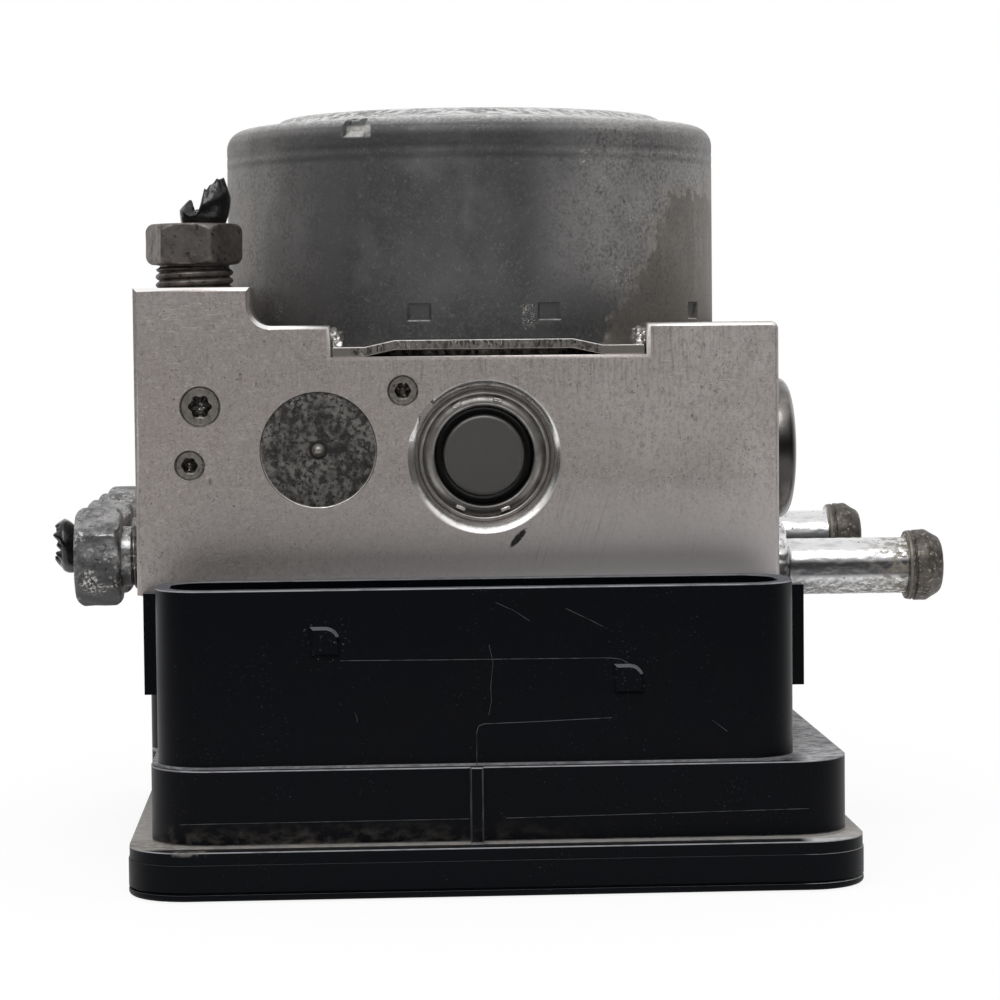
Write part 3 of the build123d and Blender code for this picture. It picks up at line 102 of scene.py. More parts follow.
# Plugs and covers; their heights count out from the motor's axis
PUMP_Z = 62.9
PUMP_MOUTH_R = 12.2     # reamed mouth of a pump bore
GROOVE_IN = 6.3         # the pump plug's deep groove, from and to
GROOVE_OUT = 7.6
BURR_RING = 8.75
BURR_HEIGHT = 42.35
BURR_TURNS = (76, 118, 245, 291)
BURR_SIDES = {"Length": 1.5, "Width": 0.55, "Height": 0.7}
ACC_X = -25.3
ACC_Z = 64.1
NUB_R = 1.0
COVER_R = 8.87
PLUGS = ((-43.1, 70.9, 3.1), (-44.8, 62.0, 2.3), (-12.4, 73.0, 2.35))   # X, Z and radius
PLUG_FACE = 44.75
PLUG_DEPTH = 3.5

# Pipe nuts and the pipes torn off in them
NUT_FLATS = 13.3
NUT_BORE_R = 2.45
THREAD_DEPTH = 0.66
CORNER_WEAR = 14        # the higher, the crisper a hexagon's corners
TOP_NUT = {"thread_r": 6.0, "pitch": 1.25, "thread_end": 3.4, "neck": 3.7, "height": 6.3, "wear": 0.05}
SIDE_NUT = {"thread_r": 5.0, "pitch": 1.0, "thread_end": 1.3, "neck": 2.75, "height": 7.1, "wear": 0.09}
NUT_REACH = 10.0        # from the block to a nut's outer end, about
INLET = (-44.2, -32.0)
INLET_TURN = -8
OUTLET_Z = 47.7
OUTLET_ROWS = (-35.0, -12.5, 10.0, 32.5)
OUTLET_TURNS = (0.0, 7.0, -6.0, 11.0)
TOP_RIM = (     # turn and height round each torn sleeve's rim
    (0, 6.9), (20, 6.4), (60, 5.2), (95, 3.2), (130, 2.0), (160, 3.0), (190, 3.6), (215, 3.1), (240, 1.9),
    (254, 2.2), (268, 5.2), (290, 6.2), (318, 6.7), (335, 7.3), (345, 6.9), (360, 6.9),
)
SIDE_RIM = ((0, 2.8), (40, 2.4), (90, 2.0), (130, 2.7), (200, 2.9), (250, 2.4), (300, 2.9), (360, 2.8))

# Cap and hose spigots on the right face
CAP_PLACE = (-30.0, 63.1)
FRONT_SPIGOT = (-30.0, 44.3, 27.6)      # Y, Z and length
BACK_SPIGOT = (5.0, 46.6, 20.6)
BEAD_REACH = 5.7        # from a spigot's bead to its tip

# Control unit
SHROUD_FRONT = -65.0    # outer front face of the plug socket's wall
STEP_FRONT = -66.5      # front of the housing's middle step
HOUSING_TOP = 44.6
LEDGE_TOP = 18.5
FLANGE_TOP = 7.2
RIB_SIDES = (-3.62, -1.86)
LATCH_PADS = ((-24.8, 37.0), (19.8, 31.0))      # X and Z of the two D-shaped pads
CONTACTS_X = -36.7      # first contact of the plug socket
CONTACTS_Y = -55.15     # middle between the two rows
CONTACTS_TOP = 34.0
CONTACT_TIP = 1.4
ROW_PITCH = 5.0
BOARD_TOP = 5.8
PINS = {"Columns": 18, "Pitch": 3.2, "Width": 0.64, "Thickness": 0.64}
BLADES = {"Columns": 2, "Pitch": 5.6, "Width": 2.8, "Thickness": 0.8}

MOULD_LINES = (     # name, radius, depth and the X, Z paths of the fine lines on the housing's front
    ("shroud_mould_lines", 0.055, SHROUD_FRONT, (
        ((-22.4, 34.2), (-10, 34.1), (5, 34.05), (17.0, 34.0), (18.6, 33.8), (19.7, 33.2)),
        ((-2.62, 18.4), (-2.6, 23.4), (-2.3, 24.3), (-1.5, 24.6), (6, 24.8), (17.2, 25.2)),
    )),
    ("step_mould_lines", 0.05, STEP_FRONT, (
        ((-46, 10.8), (-20, 10.85), (-3.9, 10.9)), ((1.4, 10.9), (25, 11.2), (46, 11.5)),
    )),
    ("shroud_scratches", 0.04, SHROUD_FRONT, (
        ((-0.68, 36.2), (-0.1, 33.5), (-0.5, 30.2), (-0.4, 28.0), (-0.8, 25.9)),
        ((0.3, 42.4), (2.9, 41.2), (5.3, 39.6)), ((10.5, 41.4), (13.2, 40.1), (16.3, 38.5)),
        ((32.0, 24.6), (33.2, 23.7), (34.2, 22.9)), ((-20.4, 26.6), (-20.1, 25.9), (-20.0, 25.2)),
    )),
)

# Camera, light and floor
CAMERA_TURN = (2.977, 3.168, -0.575)    # to the right, down and tilted, in degrees
CAMERA_PLACE = (-22, -510, 82)
CAMERA_LENS = 110.33
LIGHT_PLACE = (-150, -700, 950)
LIGHT_AIM = (0, 0, 60)
LIGHT_SIDES = (900, 500)
LIGHT_POWER = 5.5       # watts
FLOOR_R = 360
FLOOR_DROP = 0.2        # how far the floor lies below the object


# ---------------------------------------------------------------- mesh making
def rounded(corners, steps=4):
    """A profile from (radius, height, rounding) corners, each rounding drawn as a short curve."""
    path = []
    for i, (r, z, soft) in enumerate(corners):
        here = Vector((r, z))
        if soft == 0 or i in (0, len(corners) - 1):
            path.append(here)
            continue
        before = Vector(corners[i - 1][:2]) - here
        after = Vector(corners[i + 1][:2]) - here
        start = here + before.normalized() * min(soft, before.length * 0.48)
        end = here + after.normalized() * min(soft, after.length * 0.48)
        for s in range(steps + 1):
            t = s / steps
            path.append(start * (1 - t) ** 2 + here * 2 * t * (1 - t) + end * t * t)
    return path


def dense(path, step):
    """The same profile with no stretch longer than step."""
    full = [path[0]]
    for a, b in zip(path, path[1:]):
        parts = max(1, math.ceil((b - a).length / step))
        full += [a.lerp(b, i / parts) for i in range(1, parts + 1)]
    return full


def even(count):
    """Angles spread evenly over a turn."""
    return [2 * math.pi * i / count for i in range(count)]


def mesh_object(name, work, crease):
    """The finished mesh as an object at the origin, smooth except across creases."""
    bmesh.ops.recalc_face_normals(work, faces=work.faces)
    mesh = bpy.data.meshes.new(name)
    work.to_mesh(mesh)
    work.free()
    mesh.shade_smooth()
    mesh.set_sharp_from_angle(angle=math.radians(crease))
    made = bpy.data.objects.new(name, mesh)
    bpy.context.scene.collection.objects.link(made)
    return made


def polar(name, path, angles, shape=None, loop=False, place=None, crease=32.0):
    """A mesh round local Z from a profile of radius and height; shape moves each point of it on its own."""
    work = bmesh.new()
    rows = []
    for r, z in path:
        if r < 1e-6:
            rows.append([work.verts.new((0, 0, z))])
            continue
        ring = []
        for a in angles:
            out, up = shape(a, r, z) if shape else (r, z)
            ring.append(work.verts.new((out * math.cos(a), out * math.sin(a), up)))
        rows.append(ring)
    pairs = list(zip(rows, rows[1:]))
    if loop:
        pairs.append((rows[-1], rows[0]))
    count = len(angles)
    for lower, upper in pairs:
        for i in range(count):
            j = (i + 1) % count
            if len(lower) == 1 and len(upper) == 1:
                break
            if len(lower) == 1:
                work.faces.new((lower[0], upper[j], upper[i]))
            elif len(upper) == 1:
                work.faces.new((lower[i], lower[j], upper[0]))
            else:
                work.faces.new((lower[i], lower[j], upper[j], upper[i]))
    work.transform((Matrix.Scale(MM, 4) @ place) if place else Matrix.Scale(MM, 4))
    return mesh_object(name, work, crease)


def facing_y(side, x, z):
    """Turns local Z to -Y (side -1) or +Y (side 1), counted from the motor axis."""
    return Matrix.Translation((x, 0, z)) @ Matrix.Rotation(math.radians(-90 * side), 4, "X")


def facing_x(side, x, y, z):
    """Turns local Z to -X or +X, counted from the given X."""
    return Matrix.Translation((x, y, z)) @ Matrix.Rotation(math.radians(90 * side), 4, "Y")


def lumps(x, y, z, size, height, seed=0.0):
    """Smooth unevenness of a surface at a point, in mm."""
    return noise.noise(Vector((x / size + seed, y / size, z / size))) * height


def merged(node):
    """A copy of a CAD node's mesh with its loose triangles joined."""
    work = bmesh.new()
    work.from_mesh(frame["nodes"][node].data)
    bmesh.ops.remove_doubles(work, verts=work.verts, dist=0.002 * MM)
    return work


def softened(node, width, clamp=True):
    """A merged copy of a CAD node with its edges rounded over."""
    work = merged(node)
    bmesh.ops.dissolve_limit(work, angle_limit=math.radians(0.4), verts=work.verts, edges=work.edges)
    sharp = [e for e in work.edges if e.is_manifold and e.calc_face_angle() > math.radians(30)]
    bmesh.ops.bevel(
        work, geom=sharp, offset=width * MM, segments=2, profile=0.5, affect="EDGES", clamp_overlap=clamp,
    )
    made = mesh_object(node + "_moulding", work, 40.0)
    weigh = made.modifiers.new("weigh", "WEIGHTED_NORMAL")
    weigh.keep_sharp = True
    return applied(made)


def crisp(made):
    """Shades the faces that lie square to an axis flat right up to their edges."""
    normals = []
    for face in made.data.polygons:
        square = max(abs(c) for c in face.normal) > 0.9999
        normals += [face.normal.copy() if square else Vector((0, 0, 0))] * face.loop_total
    made.data.normals_split_custom_set(normals)
    return made


def applied(made):
    """The object with its modifiers turned into plain mesh."""
    graph = bpy.context.evaluated_depsgraph_get()
    mesh = bpy.data.meshes.new_from_object(made.evaluated_get(graph))
    made.modifiers.clear()
    made.data = mesh
    return made


def grower(name, **kinds):
    """An empty geometry tree with named inputs for its sizes; gives back the tree and those inputs."""
    tree = bpy.data.node_groups.new(name, "GeometryNodeTree")
    tree.interface.new_socket("Geometry", in_out="OUTPUT", socket_type="NodeSocketGeometry")
    tree.interface.new_socket("Geometry", in_out="INPUT", socket_type="NodeSocketGeometry")
    for key, kind in kinds.items():
        tree.interface.new_socket(key.replace("_", " "), in_out="INPUT", socket_type="NodeSocket" + kind)
    return tree, add(tree, "NodeGroupInput").node.outputs


def ended(tree, geometry, finish):
    """The tree's last steps: its instances made real and given their finish."""
    solid = add(tree, "GeometryNodeRealizeInstances", {"Geometry": geometry})
    coated = add(tree, "GeometryNodeSetMaterial", {"Geometry": solid, "Material": finish})
    add(tree, "NodeGroupOutput", {"Geometry": coated})
    return tree


def grown(name, tree, start, **sizes):
    """The plain mesh that a geometry tree makes from a starting mesh and its sizes."""
    made = bpy.data.objects.new(name, start)
    bpy.context.scene.collection.objects.link(made)
    modifier = made.modifiers.new(name, "NODES")
    modifier.node_group = tree
    for key, value in sizes.items():
        modifier[tree.interface.items_tree[key.replace("_", " ")].identifier] = value
    return applied(made)


def dressed(made, material, slot, *nodes):
    """A finished piece: its material, the body it rides on and the nodes it stands for; the slot is not used.
    """
    made.data.materials.clear()
    made.data.materials.append(material)
    for face in made.data.polygons:
        face.material_index = 0
    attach(made, BODY)
    if nodes:
        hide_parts(*nodes)
    return made


# ---------------------------------------------------------------- finishes
def linear(code):
    """A colour written as sRGB hex, turned to linear."""
    parts = [int(code[i:i + 2], 16) / 255 for i in (1, 3, 5)]
    return [c / 12.92 if c <= 0.04045 else ((c + 0.055) / 1.055) ** 2.4 for c in parts] + [1.0]


def add(tree, kind, feeds=None, out=0, **settings):
    """One node with its settings and what feeds its sockets; gives back one of its outputs."""
    made = tree.nodes.new(kind)
    for name, value in settings.items():
        setattr(made, name, value)
    for socket, value in (feeds or {}).items():
        if isinstance(value, bpy.types.NodeSocket):
            tree.links.new(value, made.inputs[socket])
        else:
            made.inputs[socket].default_value = value
    return made.outputs[out] if made.outputs else made


class Finish:
    """A surface built up from the bare stock outwards. Its sizes are millimetres on the object."""

    def __init__(self, name, colour, roughness, metallic=0.0):
        self.material = bpy.data.materials.new(name)
        self.material.use_nodes = True
        self.tree = self.material.node_tree
        self.tree.nodes.clear()
        self.at = add(
            self.tree, "ShaderNodeVectorMath",
            {0: add(self.tree, "ShaderNodeTexCoord", out="Object"), "Scale": 1 / MM}, operation="SCALE",
        )
        self.facing = add(self.tree, "ShaderNodeTexCoord", out="Normal")
        self.colour = linear(colour)
        self.roughness = roughness
        self.metallic = metallic
        self.normal = None

    def cells(self, size, stretch, shift):
        """The place counted in cells about size mm wide, which a pattern is drawn on."""
        scale = [1 / (size * s) for s in stretch]
        return add(self.tree, "ShaderNodeMapping", {"Vector": self.at, "Scale": scale, "Location": shift})

    def cloud(self, size, low, high, stretch=(1, 1, 1), seed=0.0, detail=3.0, bend=0.0):
        """0 to 1 in soft patches about size mm across; bend curls them."""
        place = self.cells(size, stretch, (seed, seed * 1.7, -seed))
        value = add(self.tree, "ShaderNodeTexNoise", {
            "Vector": place, "Scale": 1.0, "Detail": detail, "Roughness": 0.6, "Distortion": bend,
        })
        return self.ramp(value, low, high)

    def spots(self, size, radius, seed=0.0, stretch=(1, 1, 1)):
        """1 in round spots on cells about size mm apart, with radius a share of the cell."""
        place = self.cells(size, stretch, (seed, -seed, seed * 0.6))
        value = add(self.tree, "ShaderNodeTexVoronoi", {"Vector": place, "Scale": 1.0}, out="Distance")
        return self.ramp(value, radius, radius * 0.6)

    def ramp(self, value, low, high):
        """value from low to high, spread over 0 to 1."""
        return add(self.tree, "ShaderNodeMapRange", {"Value": value, "From Min": low, "From Max": high})

    def joined(self, operation, masks):
        """The masks taken together one after another."""
        result = masks[0]
        for mask in masks[1:]:
            result = add(self.tree, "ShaderNodeMath", {0: result, 1: mask}, operation=operation)
        return result

    def times(self, *masks):
        """1 only where every mask is."""
        return self.joined("MULTIPLY", masks)

    def either(self, *masks):
        """The strongest of the masks."""
        return self.joined("MAXIMUM", masks)

    def along(self, axis):
        """The place along X, Y or Z in mm."""
        return add(self.tree, "ShaderNodeSeparateXYZ", {0: self.at}, out=axis)

    def reach(self, centre, axes="XZ"):
        """How far the place lies from a centre in mm, seen square to two axes."""
        flat = add(self.tree, "ShaderNodeCombineXYZ", {axis: self.along(axis) for axis in axes})
        return add(self.tree, "ShaderNodeVectorMath", {0: flat, 1: centre}, out="Value", operation="DISTANCE")

    def turned(self, axis):
        """How far the surface faces +X, +Y or +Z, from -1 to 1."""
        return add(self.tree, "ShaderNodeSeparateXYZ", {0: self.facing}, out=axis)

    def between(self, value, low, high, soft):
        """1 between low and high, fading over soft on each side."""
        return self.times(self.ramp(value, low - soft, low), self.ramp(value, high + soft, high))

    def cover(self, share, colour=None, roughness=None, metallic=None):
        """Lays dirt, wear or a coat over what is there, where share is above 0."""
        if colour:
            self.colour = add(
                self.tree, "ShaderNodeMix",
                {0: share, 6: self.colour, 7: linear(colour)}, out=2, data_type="RGBA",
            )
        if roughness is not None:
            self.roughness = add(self.tree, "ShaderNodeMix", {0: share, 2: self.roughness, 3: roughness})
        if metallic is not None:
            self.metallic = add(self.tree, "ShaderNodeMix", {0: share, 2: self.metallic, 3: metallic})

    def relief(self, height, depth):
        """Raises the surface by depth mm where height is 1."""
        feeds = {"Height": height, "Distance": depth * MM, "Strength": 1.0}
        if self.normal:
            feeds["Normal"] = self.normal
        self.normal = add(self.tree, "ShaderNodeBump", feeds)

    def done(self, **sockets):
        """Joins the layers to the surface shader."""
        feeds = {"Base Color": self.colour, "Roughness": self.roughness, "Metallic": self.metallic}
        if self.normal:
            feeds["Normal"] = self.normal
        feeds.update(sockets)
        shader = add(self.tree, "ShaderNodeBsdfPrincipled", feeds)
        add(self.tree, "ShaderNodeOutputMaterial", {"Surface": shader})
        return self.material


def milled_aluminium():
    """Face-milled wrought aluminium: satin warm grey, faint cutter marks, curly scratches, pits and dirt."""
    f = Finish("milled_aluminium", "#bfb8b5", 0.5, 1.0)
    x, y, z = (f.along(a) for a in "XYZ")
    face = f.ramp(y, BLOCK_FRONT + 1, BLOCK_FRONT + 0.1)
    # Painted light and shade: the left of the face is made darker and the right paler, as if lit from the
    # right
    f.cover(f.times(f.ramp(x, 10, -30), f.ramp(z, 50, 60), f.ramp(z, 84, 78)), "#b3aba8")
    f.cover(f.times(f.ramp(x, 8, 32), f.ramp(z, 46, 56)), "#d3ccc9")
    f.cover(f.cloud(22, 0.4, 0.7, seed=3), "#b5aeaa")
    f.cover(f.cloud(0.5, 0.45, 0.75, (1, 1, 1.8), seed=52), "#a9a19d")
    f.cover(f.cloud(0.8, 0.5, 0.7, (1.5, 1, 1), seed=8, bend=2.0), "#c9c2be", 0.54)
    f.cover(f.cloud(0.6, 0.55, 0.72, seed=18, bend=2.0), "#8d8682", 0.5)
    f.cover(f.cloud(0.4, 0.66, 0.74, (1.8, 1, 1), seed=28, bend=3.0), "#ddd7d3", 0.5)
    # Upright cutter marks, plain only below the motor's pocket; a 0.25 mm feed drawn at 0.4 mm
    marks = f.cloud(0.4, 0.48, 0.7, (1, 1, 18), seed=1, detail=3)
    patchy = f.cloud(3, 0.3, 0.6, (1, 1, 2), seed=61)
    near_pocket = f.times(f.ramp(z, 70, 78), f.between(x, -16, 34, 8), patchy)
    f.cover(f.times(marks, f.ramp(near_pocket, -0.15, 1.6)), "#7b7470", 0.55)
    # Leaning cutter marks low on the right, where the tool left the face
    lean = add(f.tree, "ShaderNodeMapping", {"Vector": f.at, "Rotation": (0, math.radians(-17), 0)})
    lean = add(f.tree, "ShaderNodeMapping", {"Vector": lean, "Scale": (3.4, 0.1, 0.16)})
    lean = add(f.tree, "ShaderNodeTexNoise", {"Vector": lean, "Scale": 1.0, "Detail": 3.0})
    low_middle = f.times(f.between(x, 6, 17, 4), f.ramp(z, 62, 52))
    low_right = f.times(f.between(x, 28, 33, 2), f.ramp(z, 53, 49))
    there = f.times(f.ramp(lean, 0.55, 0.72), f.either(low_middle, low_right), f.cloud(4, 0.3, 0.65, seed=41))
    f.cover(there, "#6f6865", 0.56)
    # Short level scratches on the shoulder and at the right
    level = f.cloud(0.2, 0.58, 0.68, (9, 1, 1), seed=5, detail=2)
    on_shoulder = f.times(f.between(z, 82.5, 87, 1), f.ramp(x, -36, -39), f.ramp(x, -52, -50))
    at_right = f.times(f.between(x, 28, 38, 2), f.between(z, 72.5, 77.5, 1), f.cloud(2, 0.4, 0.55, seed=93))
    f.cover(f.times(level, f.either(on_shoulder, at_right)), "#ddd8d4", 0.42)
    # Dark pits and rubbed-in dirt
    pits = f.times(f.cloud(0.4, 0.69, 0.74, (1.6, 1, 1), seed=2, detail=2), f.cloud(6, 0.42, 0.6, seed=7))
    f.cover(pits, "#3a3634", 0.7, 0.3)
    pits = f.times(f.cloud(0.35, 0.68, 0.73, (1, 1, 1.8), seed=12, detail=2), f.cloud(5, 0.45, 0.6, seed=77))
    f.cover(pits, "#4a4542", 0.7, 0.3)
    dirt = f.times(f.cloud(0.9, 0.64, 0.74, (1, 1, 1.6), seed=21, bend=1.0), f.cloud(10, 0.42, 0.6, seed=17))
    f.cover(dirt, "#7a7370", 0.6)
    # Painted light: the lower face is made pale, against the shade that the housing below casts on it
    f.cover(f.times(f.ramp(z, 60, 44), face, f.ramp(x, -50, 20)), "#e6e1e0", 0.5)
    # An inky smear below the pump plug, leaning to the right
    smear = add(f.tree, "ShaderNodeMapping", {"Vector": f.at, "Location": (-4.9, 0, -50.4)})
    smear = add(f.tree, "ShaderNodeMapping", {"Vector": smear, "Rotation": (0, math.radians(48), 0)})
    smear = add(f.tree, "ShaderNodeMapping", {"Vector": smear, "Scale": (0.46, 0, 1.7)})
    smear = add(f.tree, "ShaderNodeVectorMath", {0: smear}, out="Value", operation="LENGTH")
    f.cover(f.times(f.ramp(smear, 1.0, 0.7), f.cloud(0.6, 0.3, 0.42, seed=71), face), "#1d1b1b", 0.6, 0.2)
    # Chamfer cuts that face up, painted bright as a painted highlight of the light from above, and the reamed
    # mouths of the pump bores
    slope = add(f.tree, "ShaderNodeMath", {0: f.turned("Y")}, operation="ABSOLUTE")
    chamfer = f.between(slope, 0.55, 0.85, 0.06)
    far = f.reach((0, 0, PUMP_Z))
    outside = f.ramp(far, PUMP_MOUTH_R + 0.3, PUMP_MOUTH_R + 0.6)
    f.cover(f.times(chamfer, outside, f.ramp(f.turned("Z"), 0.3, 0.6)), "#f4f2f0", 0.3)
    mouth = f.times(chamfer, f.ramp(far, PUMP_MOUTH_R, PUMP_MOUTH_R - 0.2))
    f.cover(mouth, "#f4f2f0", 0.22)
    f.cover(f.times(mouth, f.cloud(2.5, 0.5, 0.7, seed=81)), "#b9b4b0", 0.3)
    f.relief(f.times(f.cloud(0.7, 0.3, 0.7, seed=19, bend=1.0), f.ramp(mouth, 1, 0)), 0.004)
    return f.done()


def zinc_flake_coat():
    """Deep-drawn steel, matt zinc-flake coat: dark grey, mottled, dusty on top, with a dried water stain."""
    f = Finish("zinc_flake_coat", "#949292", 0.56, 0.6)
    x, y, z = (f.along(a) for a in "XYZ")
    on_front = f.ramp(y, 18, 12)
    # Painted shade: the middle of the can, which faces the camera, is made darker as a painted reflection of
    # the dim room
    f.cover(f.times(f.between(x, -20, 6, 14), f.cloud(14, 0.1, 0.45, seed=44)), "#4f4f50")
    f.cover(f.cloud(12, 0.45, 0.75, (1, 1, 1.3), seed=4), "#666666")
    f.cover(f.times(f.ramp(z, 92, 82), f.cloud(10, 0.1, 0.6, seed=34)), "#474748")
    # Painted reflection: both sides of the can are made paler, where they turn towards the bright
    # surroundings
    side = f.ramp(add(f.tree, "ShaderNodeMath", {0: x}, operation="ABSOLUTE"), 25, 39)
    f.cover(f.times(side, f.cloud(6, 0.2, 0.8, (1, 1, 2), seed=6)), "#98938d", 0.6)
    # Painted light: the upper right of the can is made paler, as if lit from the right
    f.cover(f.times(f.ramp(x, 8, 22), f.ramp(z, 86, 96), f.cloud(9, 0.2, 0.6, seed=74)), "#a5a2a0", 0.6)
    # Dried water stain low on the right: its left edge runs up and outwards and its top is level
    edge = add(f.tree, "ShaderNodeMath", {0: z, 1: STAIN_LEAN, 2: STAIN_FOOT}, operation="MULTIPLY_ADD")
    edge = add(f.tree, "ShaderNodeMath", {0: edge, 1: STAIN_LEFT}, operation="MINIMUM")
    inside = add(f.tree, "ShaderNodeMath", {0: x, 1: edge}, operation="SUBTRACT")
    below = add(f.tree, "ShaderNodeMath", {0: STAIN_TOP, 1: z}, operation="SUBTRACT")
    torn = add(f.tree, "ShaderNodeMath", {0: inside, 1: below}, operation="MINIMUM")
    fine, coarse = f.cloud(1.3, 0.2, 0.8, (1, 1, 1.5), seed=11, detail=5), f.cloud(5, 0.2, 0.8, seed=91)
    for ragged, by in ((fine, 3.4), (coarse, 3.0)):
        torn = add(f.tree, "ShaderNodeMath", {0: ragged, 1: by, 2: torn}, operation="MULTIPLY_ADD")
    dried = f.times(f.between(torn, 2.2, 2.9, 0.9), on_front, f.cloud(1.6, 0.3, 0.7, seed=57))
    f.cover(dried, "#a59f96", 0.65, 0.5)
    film = f.times(f.ramp(torn, 2.9, 3.5), on_front, f.cloud(2.5, -0.2, 0.7, (1, 1, 4), seed=51))
    f.cover(film, "#79736a", 0.6, 0.55)
    # Fine flecks of the coat
    f.cover(f.times(f.cloud(0.5, 0.4, 0.7, seed=62), f.cloud(3, 0.2, 0.6, seed=63)), "#605f5f", 0.56)
    f.cover(f.cloud(0.7, 0.55, 0.95, seed=2, bend=1.5), "#8a8887", 0.56)
    f.cover(f.cloud(0.5, 0.6, 0.95, seed=14, bend=1.0), "#49494a", 0.5)
    # Soft dark rings painted along the die lines and under the shoulder: painted shade in their creases
    for ring, half, share in DIE_LINE_SHADE:
        line = f.times(f.between(z, ring - half, ring + half, 0.65), f.cloud(12, 0.25, 0.55, seed=ring))
        f.cover(add(f.tree, "ShaderNodeMath", {0: line, 1: share}, operation="MULTIPLY"), "#39393a", 0.5)
    # Painted shade in the upper part of each punch mark, under its top edge
    sunk = f.ramp(f.reach((0, 0, 0), "XY"), CAN_R - 0.1, CAN_R - 0.35)
    f.cover(f.times(sunk, f.between(z, 83, 87, 0.5), f.ramp(z, 84, 85.6)), "#565657", 0.6)
    # A pale patchy floor in the notch of the shoulder: a painted highlight where the floor faces up
    notch = f.times(f.between(x, -20.2, -16.9, 0.3), f.between(z, 112.2, 113.5, 0.5), f.ramp(y, -25, -28))
    f.cover(f.times(notch, f.cloud(0.6, 0.1, 0.65, seed=66)), "#bdbab5", 0.6, 0.3)
    # Curled lint and scratches through the coat
    curls = f.cloud(0.55, 0.6, 0.64, seed=97, detail=2, bend=3.0)
    for x0, x1, z0, z1 in LINT:
        box = (f.between(x, x0, x1, 0.3), f.between(z, z0, z1, 0.3))
        f.cover(f.times(curls, *box, on_front), "#d3cec6", 0.7, 0.2)
    # Dust that settles on the crown and the shoulder, wiped into streaks
    up = f.ramp(f.turned("Z"), 0.55, 0.97)
    f.cover(f.times(up, f.cloud(3.5, 0.0, 0.7, (2.5, 1, 1), seed=19)), "#b5b5b5", 0.6, 0.5)
    f.cover(f.times(up, f.cloud(0.3, 0.45, 0.75, (1.6, 8, 1), seed=29)), "#dcdcdb", 0.7, 0.4)
    rim = f.between(z, CAN_TOP - 2.0, CAN_TOP - 0.4, 0.5)
    f.cover(f.times(rim, f.cloud(0.7, 0.45, 0.6, (3, 1, 1), seed=39)), "#e0dfde", 0.7, 0.3)
    f.relief(f.cloud(0.45, 0.3, 0.7, seed=27), 0.012)
    return f.done()


def sheared_steel():
    """Cold-rolled steel plate: bright faces, and a punched edge torn into dark and light upright streaks."""
    f = Finish("sheared_steel_plate", "#d5d2ce", 0.34, 1.0)
    f.cover(f.cloud(3, 0.4, 0.75, seed=3), "#aeaaa5", 0.45)
    front = f.ramp(f.turned("Y"), -0.85, -0.95)
    f.cover(front, "#85817d", 0.5)
    torn = f.times(front, f.between(f.along("X"), *TONGUE, 1.0))
    f.cover(f.times(torn, f.cloud(0.9, 0.45, 0.6, (1, 1, 2), seed=5, detail=4)), "#45413e", 0.65, 0.5)
    f.cover(f.times(torn, f.cloud(0.5, 0.55, 0.62, (1, 1, 3), seed=25)), "#221f1d", 0.7, 0.3)
    f.cover(f.times(torn, f.cloud(0.6, 0.6, 0.7, (1, 1, 2), seed=15)), "#b5b1ac", 0.4)
    f.relief(f.cloud(0.5, 0.3, 0.7, (1, 1, 2), seed=8), 0.02)
    return f.done()


def turned_plug():
    """Turned zinc-plated steel: bright ring and lip, the deep groove painted black as painted shade, the
    lower part painted darker as painted shade, phosphated centre.
    """
    f = Finish("turned_plug_steel", "#b3b0ac", 0.34, 1.0)
    far = f.reach((0, 0, PUMP_Z))
    f.cover(f.cloud(2.6, 0.35, 0.7, seed=2), "#8a8784", 0.42)
    # Painted shade: the plug's lower part inside the lip is made darker
    f.cover(f.times(f.ramp(f.along("Z"), PUMP_Z - 4.4, PUMP_Z - 7.9), f.ramp(far, 9.4, 9.1)), "#5b5856", 0.42)
    # Painted shade: the deep groove is painted black
    f.cover(f.between(far, GROOVE_IN - 0.02, GROOVE_OUT + 0.02, 0.05), "#121110", 0.22, 0.1)
    f.cover(f.ramp(far, GROOVE_IN, GROOVE_IN - 0.1), "#7b7977", 0.42, 0.8)
    f.cover(f.ramp(far, GROOVE_IN - 0.3, GROOVE_IN - 0.5), "#5a5857", 0.5, 0.6)
    centre = f.ramp(far, GROOVE_IN - 0.2, GROOVE_IN - 0.4)
    f.cover(f.times(centre, f.cloud(0.35, 0.6, 0.72, seed=9)), "#6b6967", 0.5)
    return f.done()


def turned_zinc():
    """Spun and zinc-plated steel: smooth and bright, with grey fingering and a dark band painted across the
    cap as a painted reflection of the dim room.
    """
    f = Finish("turned_zinc_steel", "#8a8785", 0.24, 1.0)
    f.cover(f.cloud(2.6, 0.35, 0.7, (1, 1, 2), seed=2), "#605d5b", 0.34)
    f.cover(f.cloud(0.6, 0.62, 0.72, seed=6), "#5f5b57", 0.5)
    # Painted reflection: a dark band across the cap, a little below its middle, where it would mirror the dim
    # room
    f.cover(f.between(f.along("Z"), CAP_PLACE[1] - 4.6, CAP_PLACE[1] + 0.9, 5.0), "#4a4846", 0.3)
    f.relief(f.cloud(0.9, 0.3, 0.7, seed=3), 0.006)
    return f.done()


def punched_aluminium():
    """Block metal burst open by the staking punch: fresh and bright, dull only in its tears."""
    f = Finish("punched_aluminium", "#e6e4e1", 0.32, 1.0)
    f.cover(f.cloud(0.7, 0.5, 0.65, seed=6), "#a5a09b", 0.5)
    f.relief(f.cloud(0.5, 0.3, 0.7, seed=3), 0.02)
    return f.done()


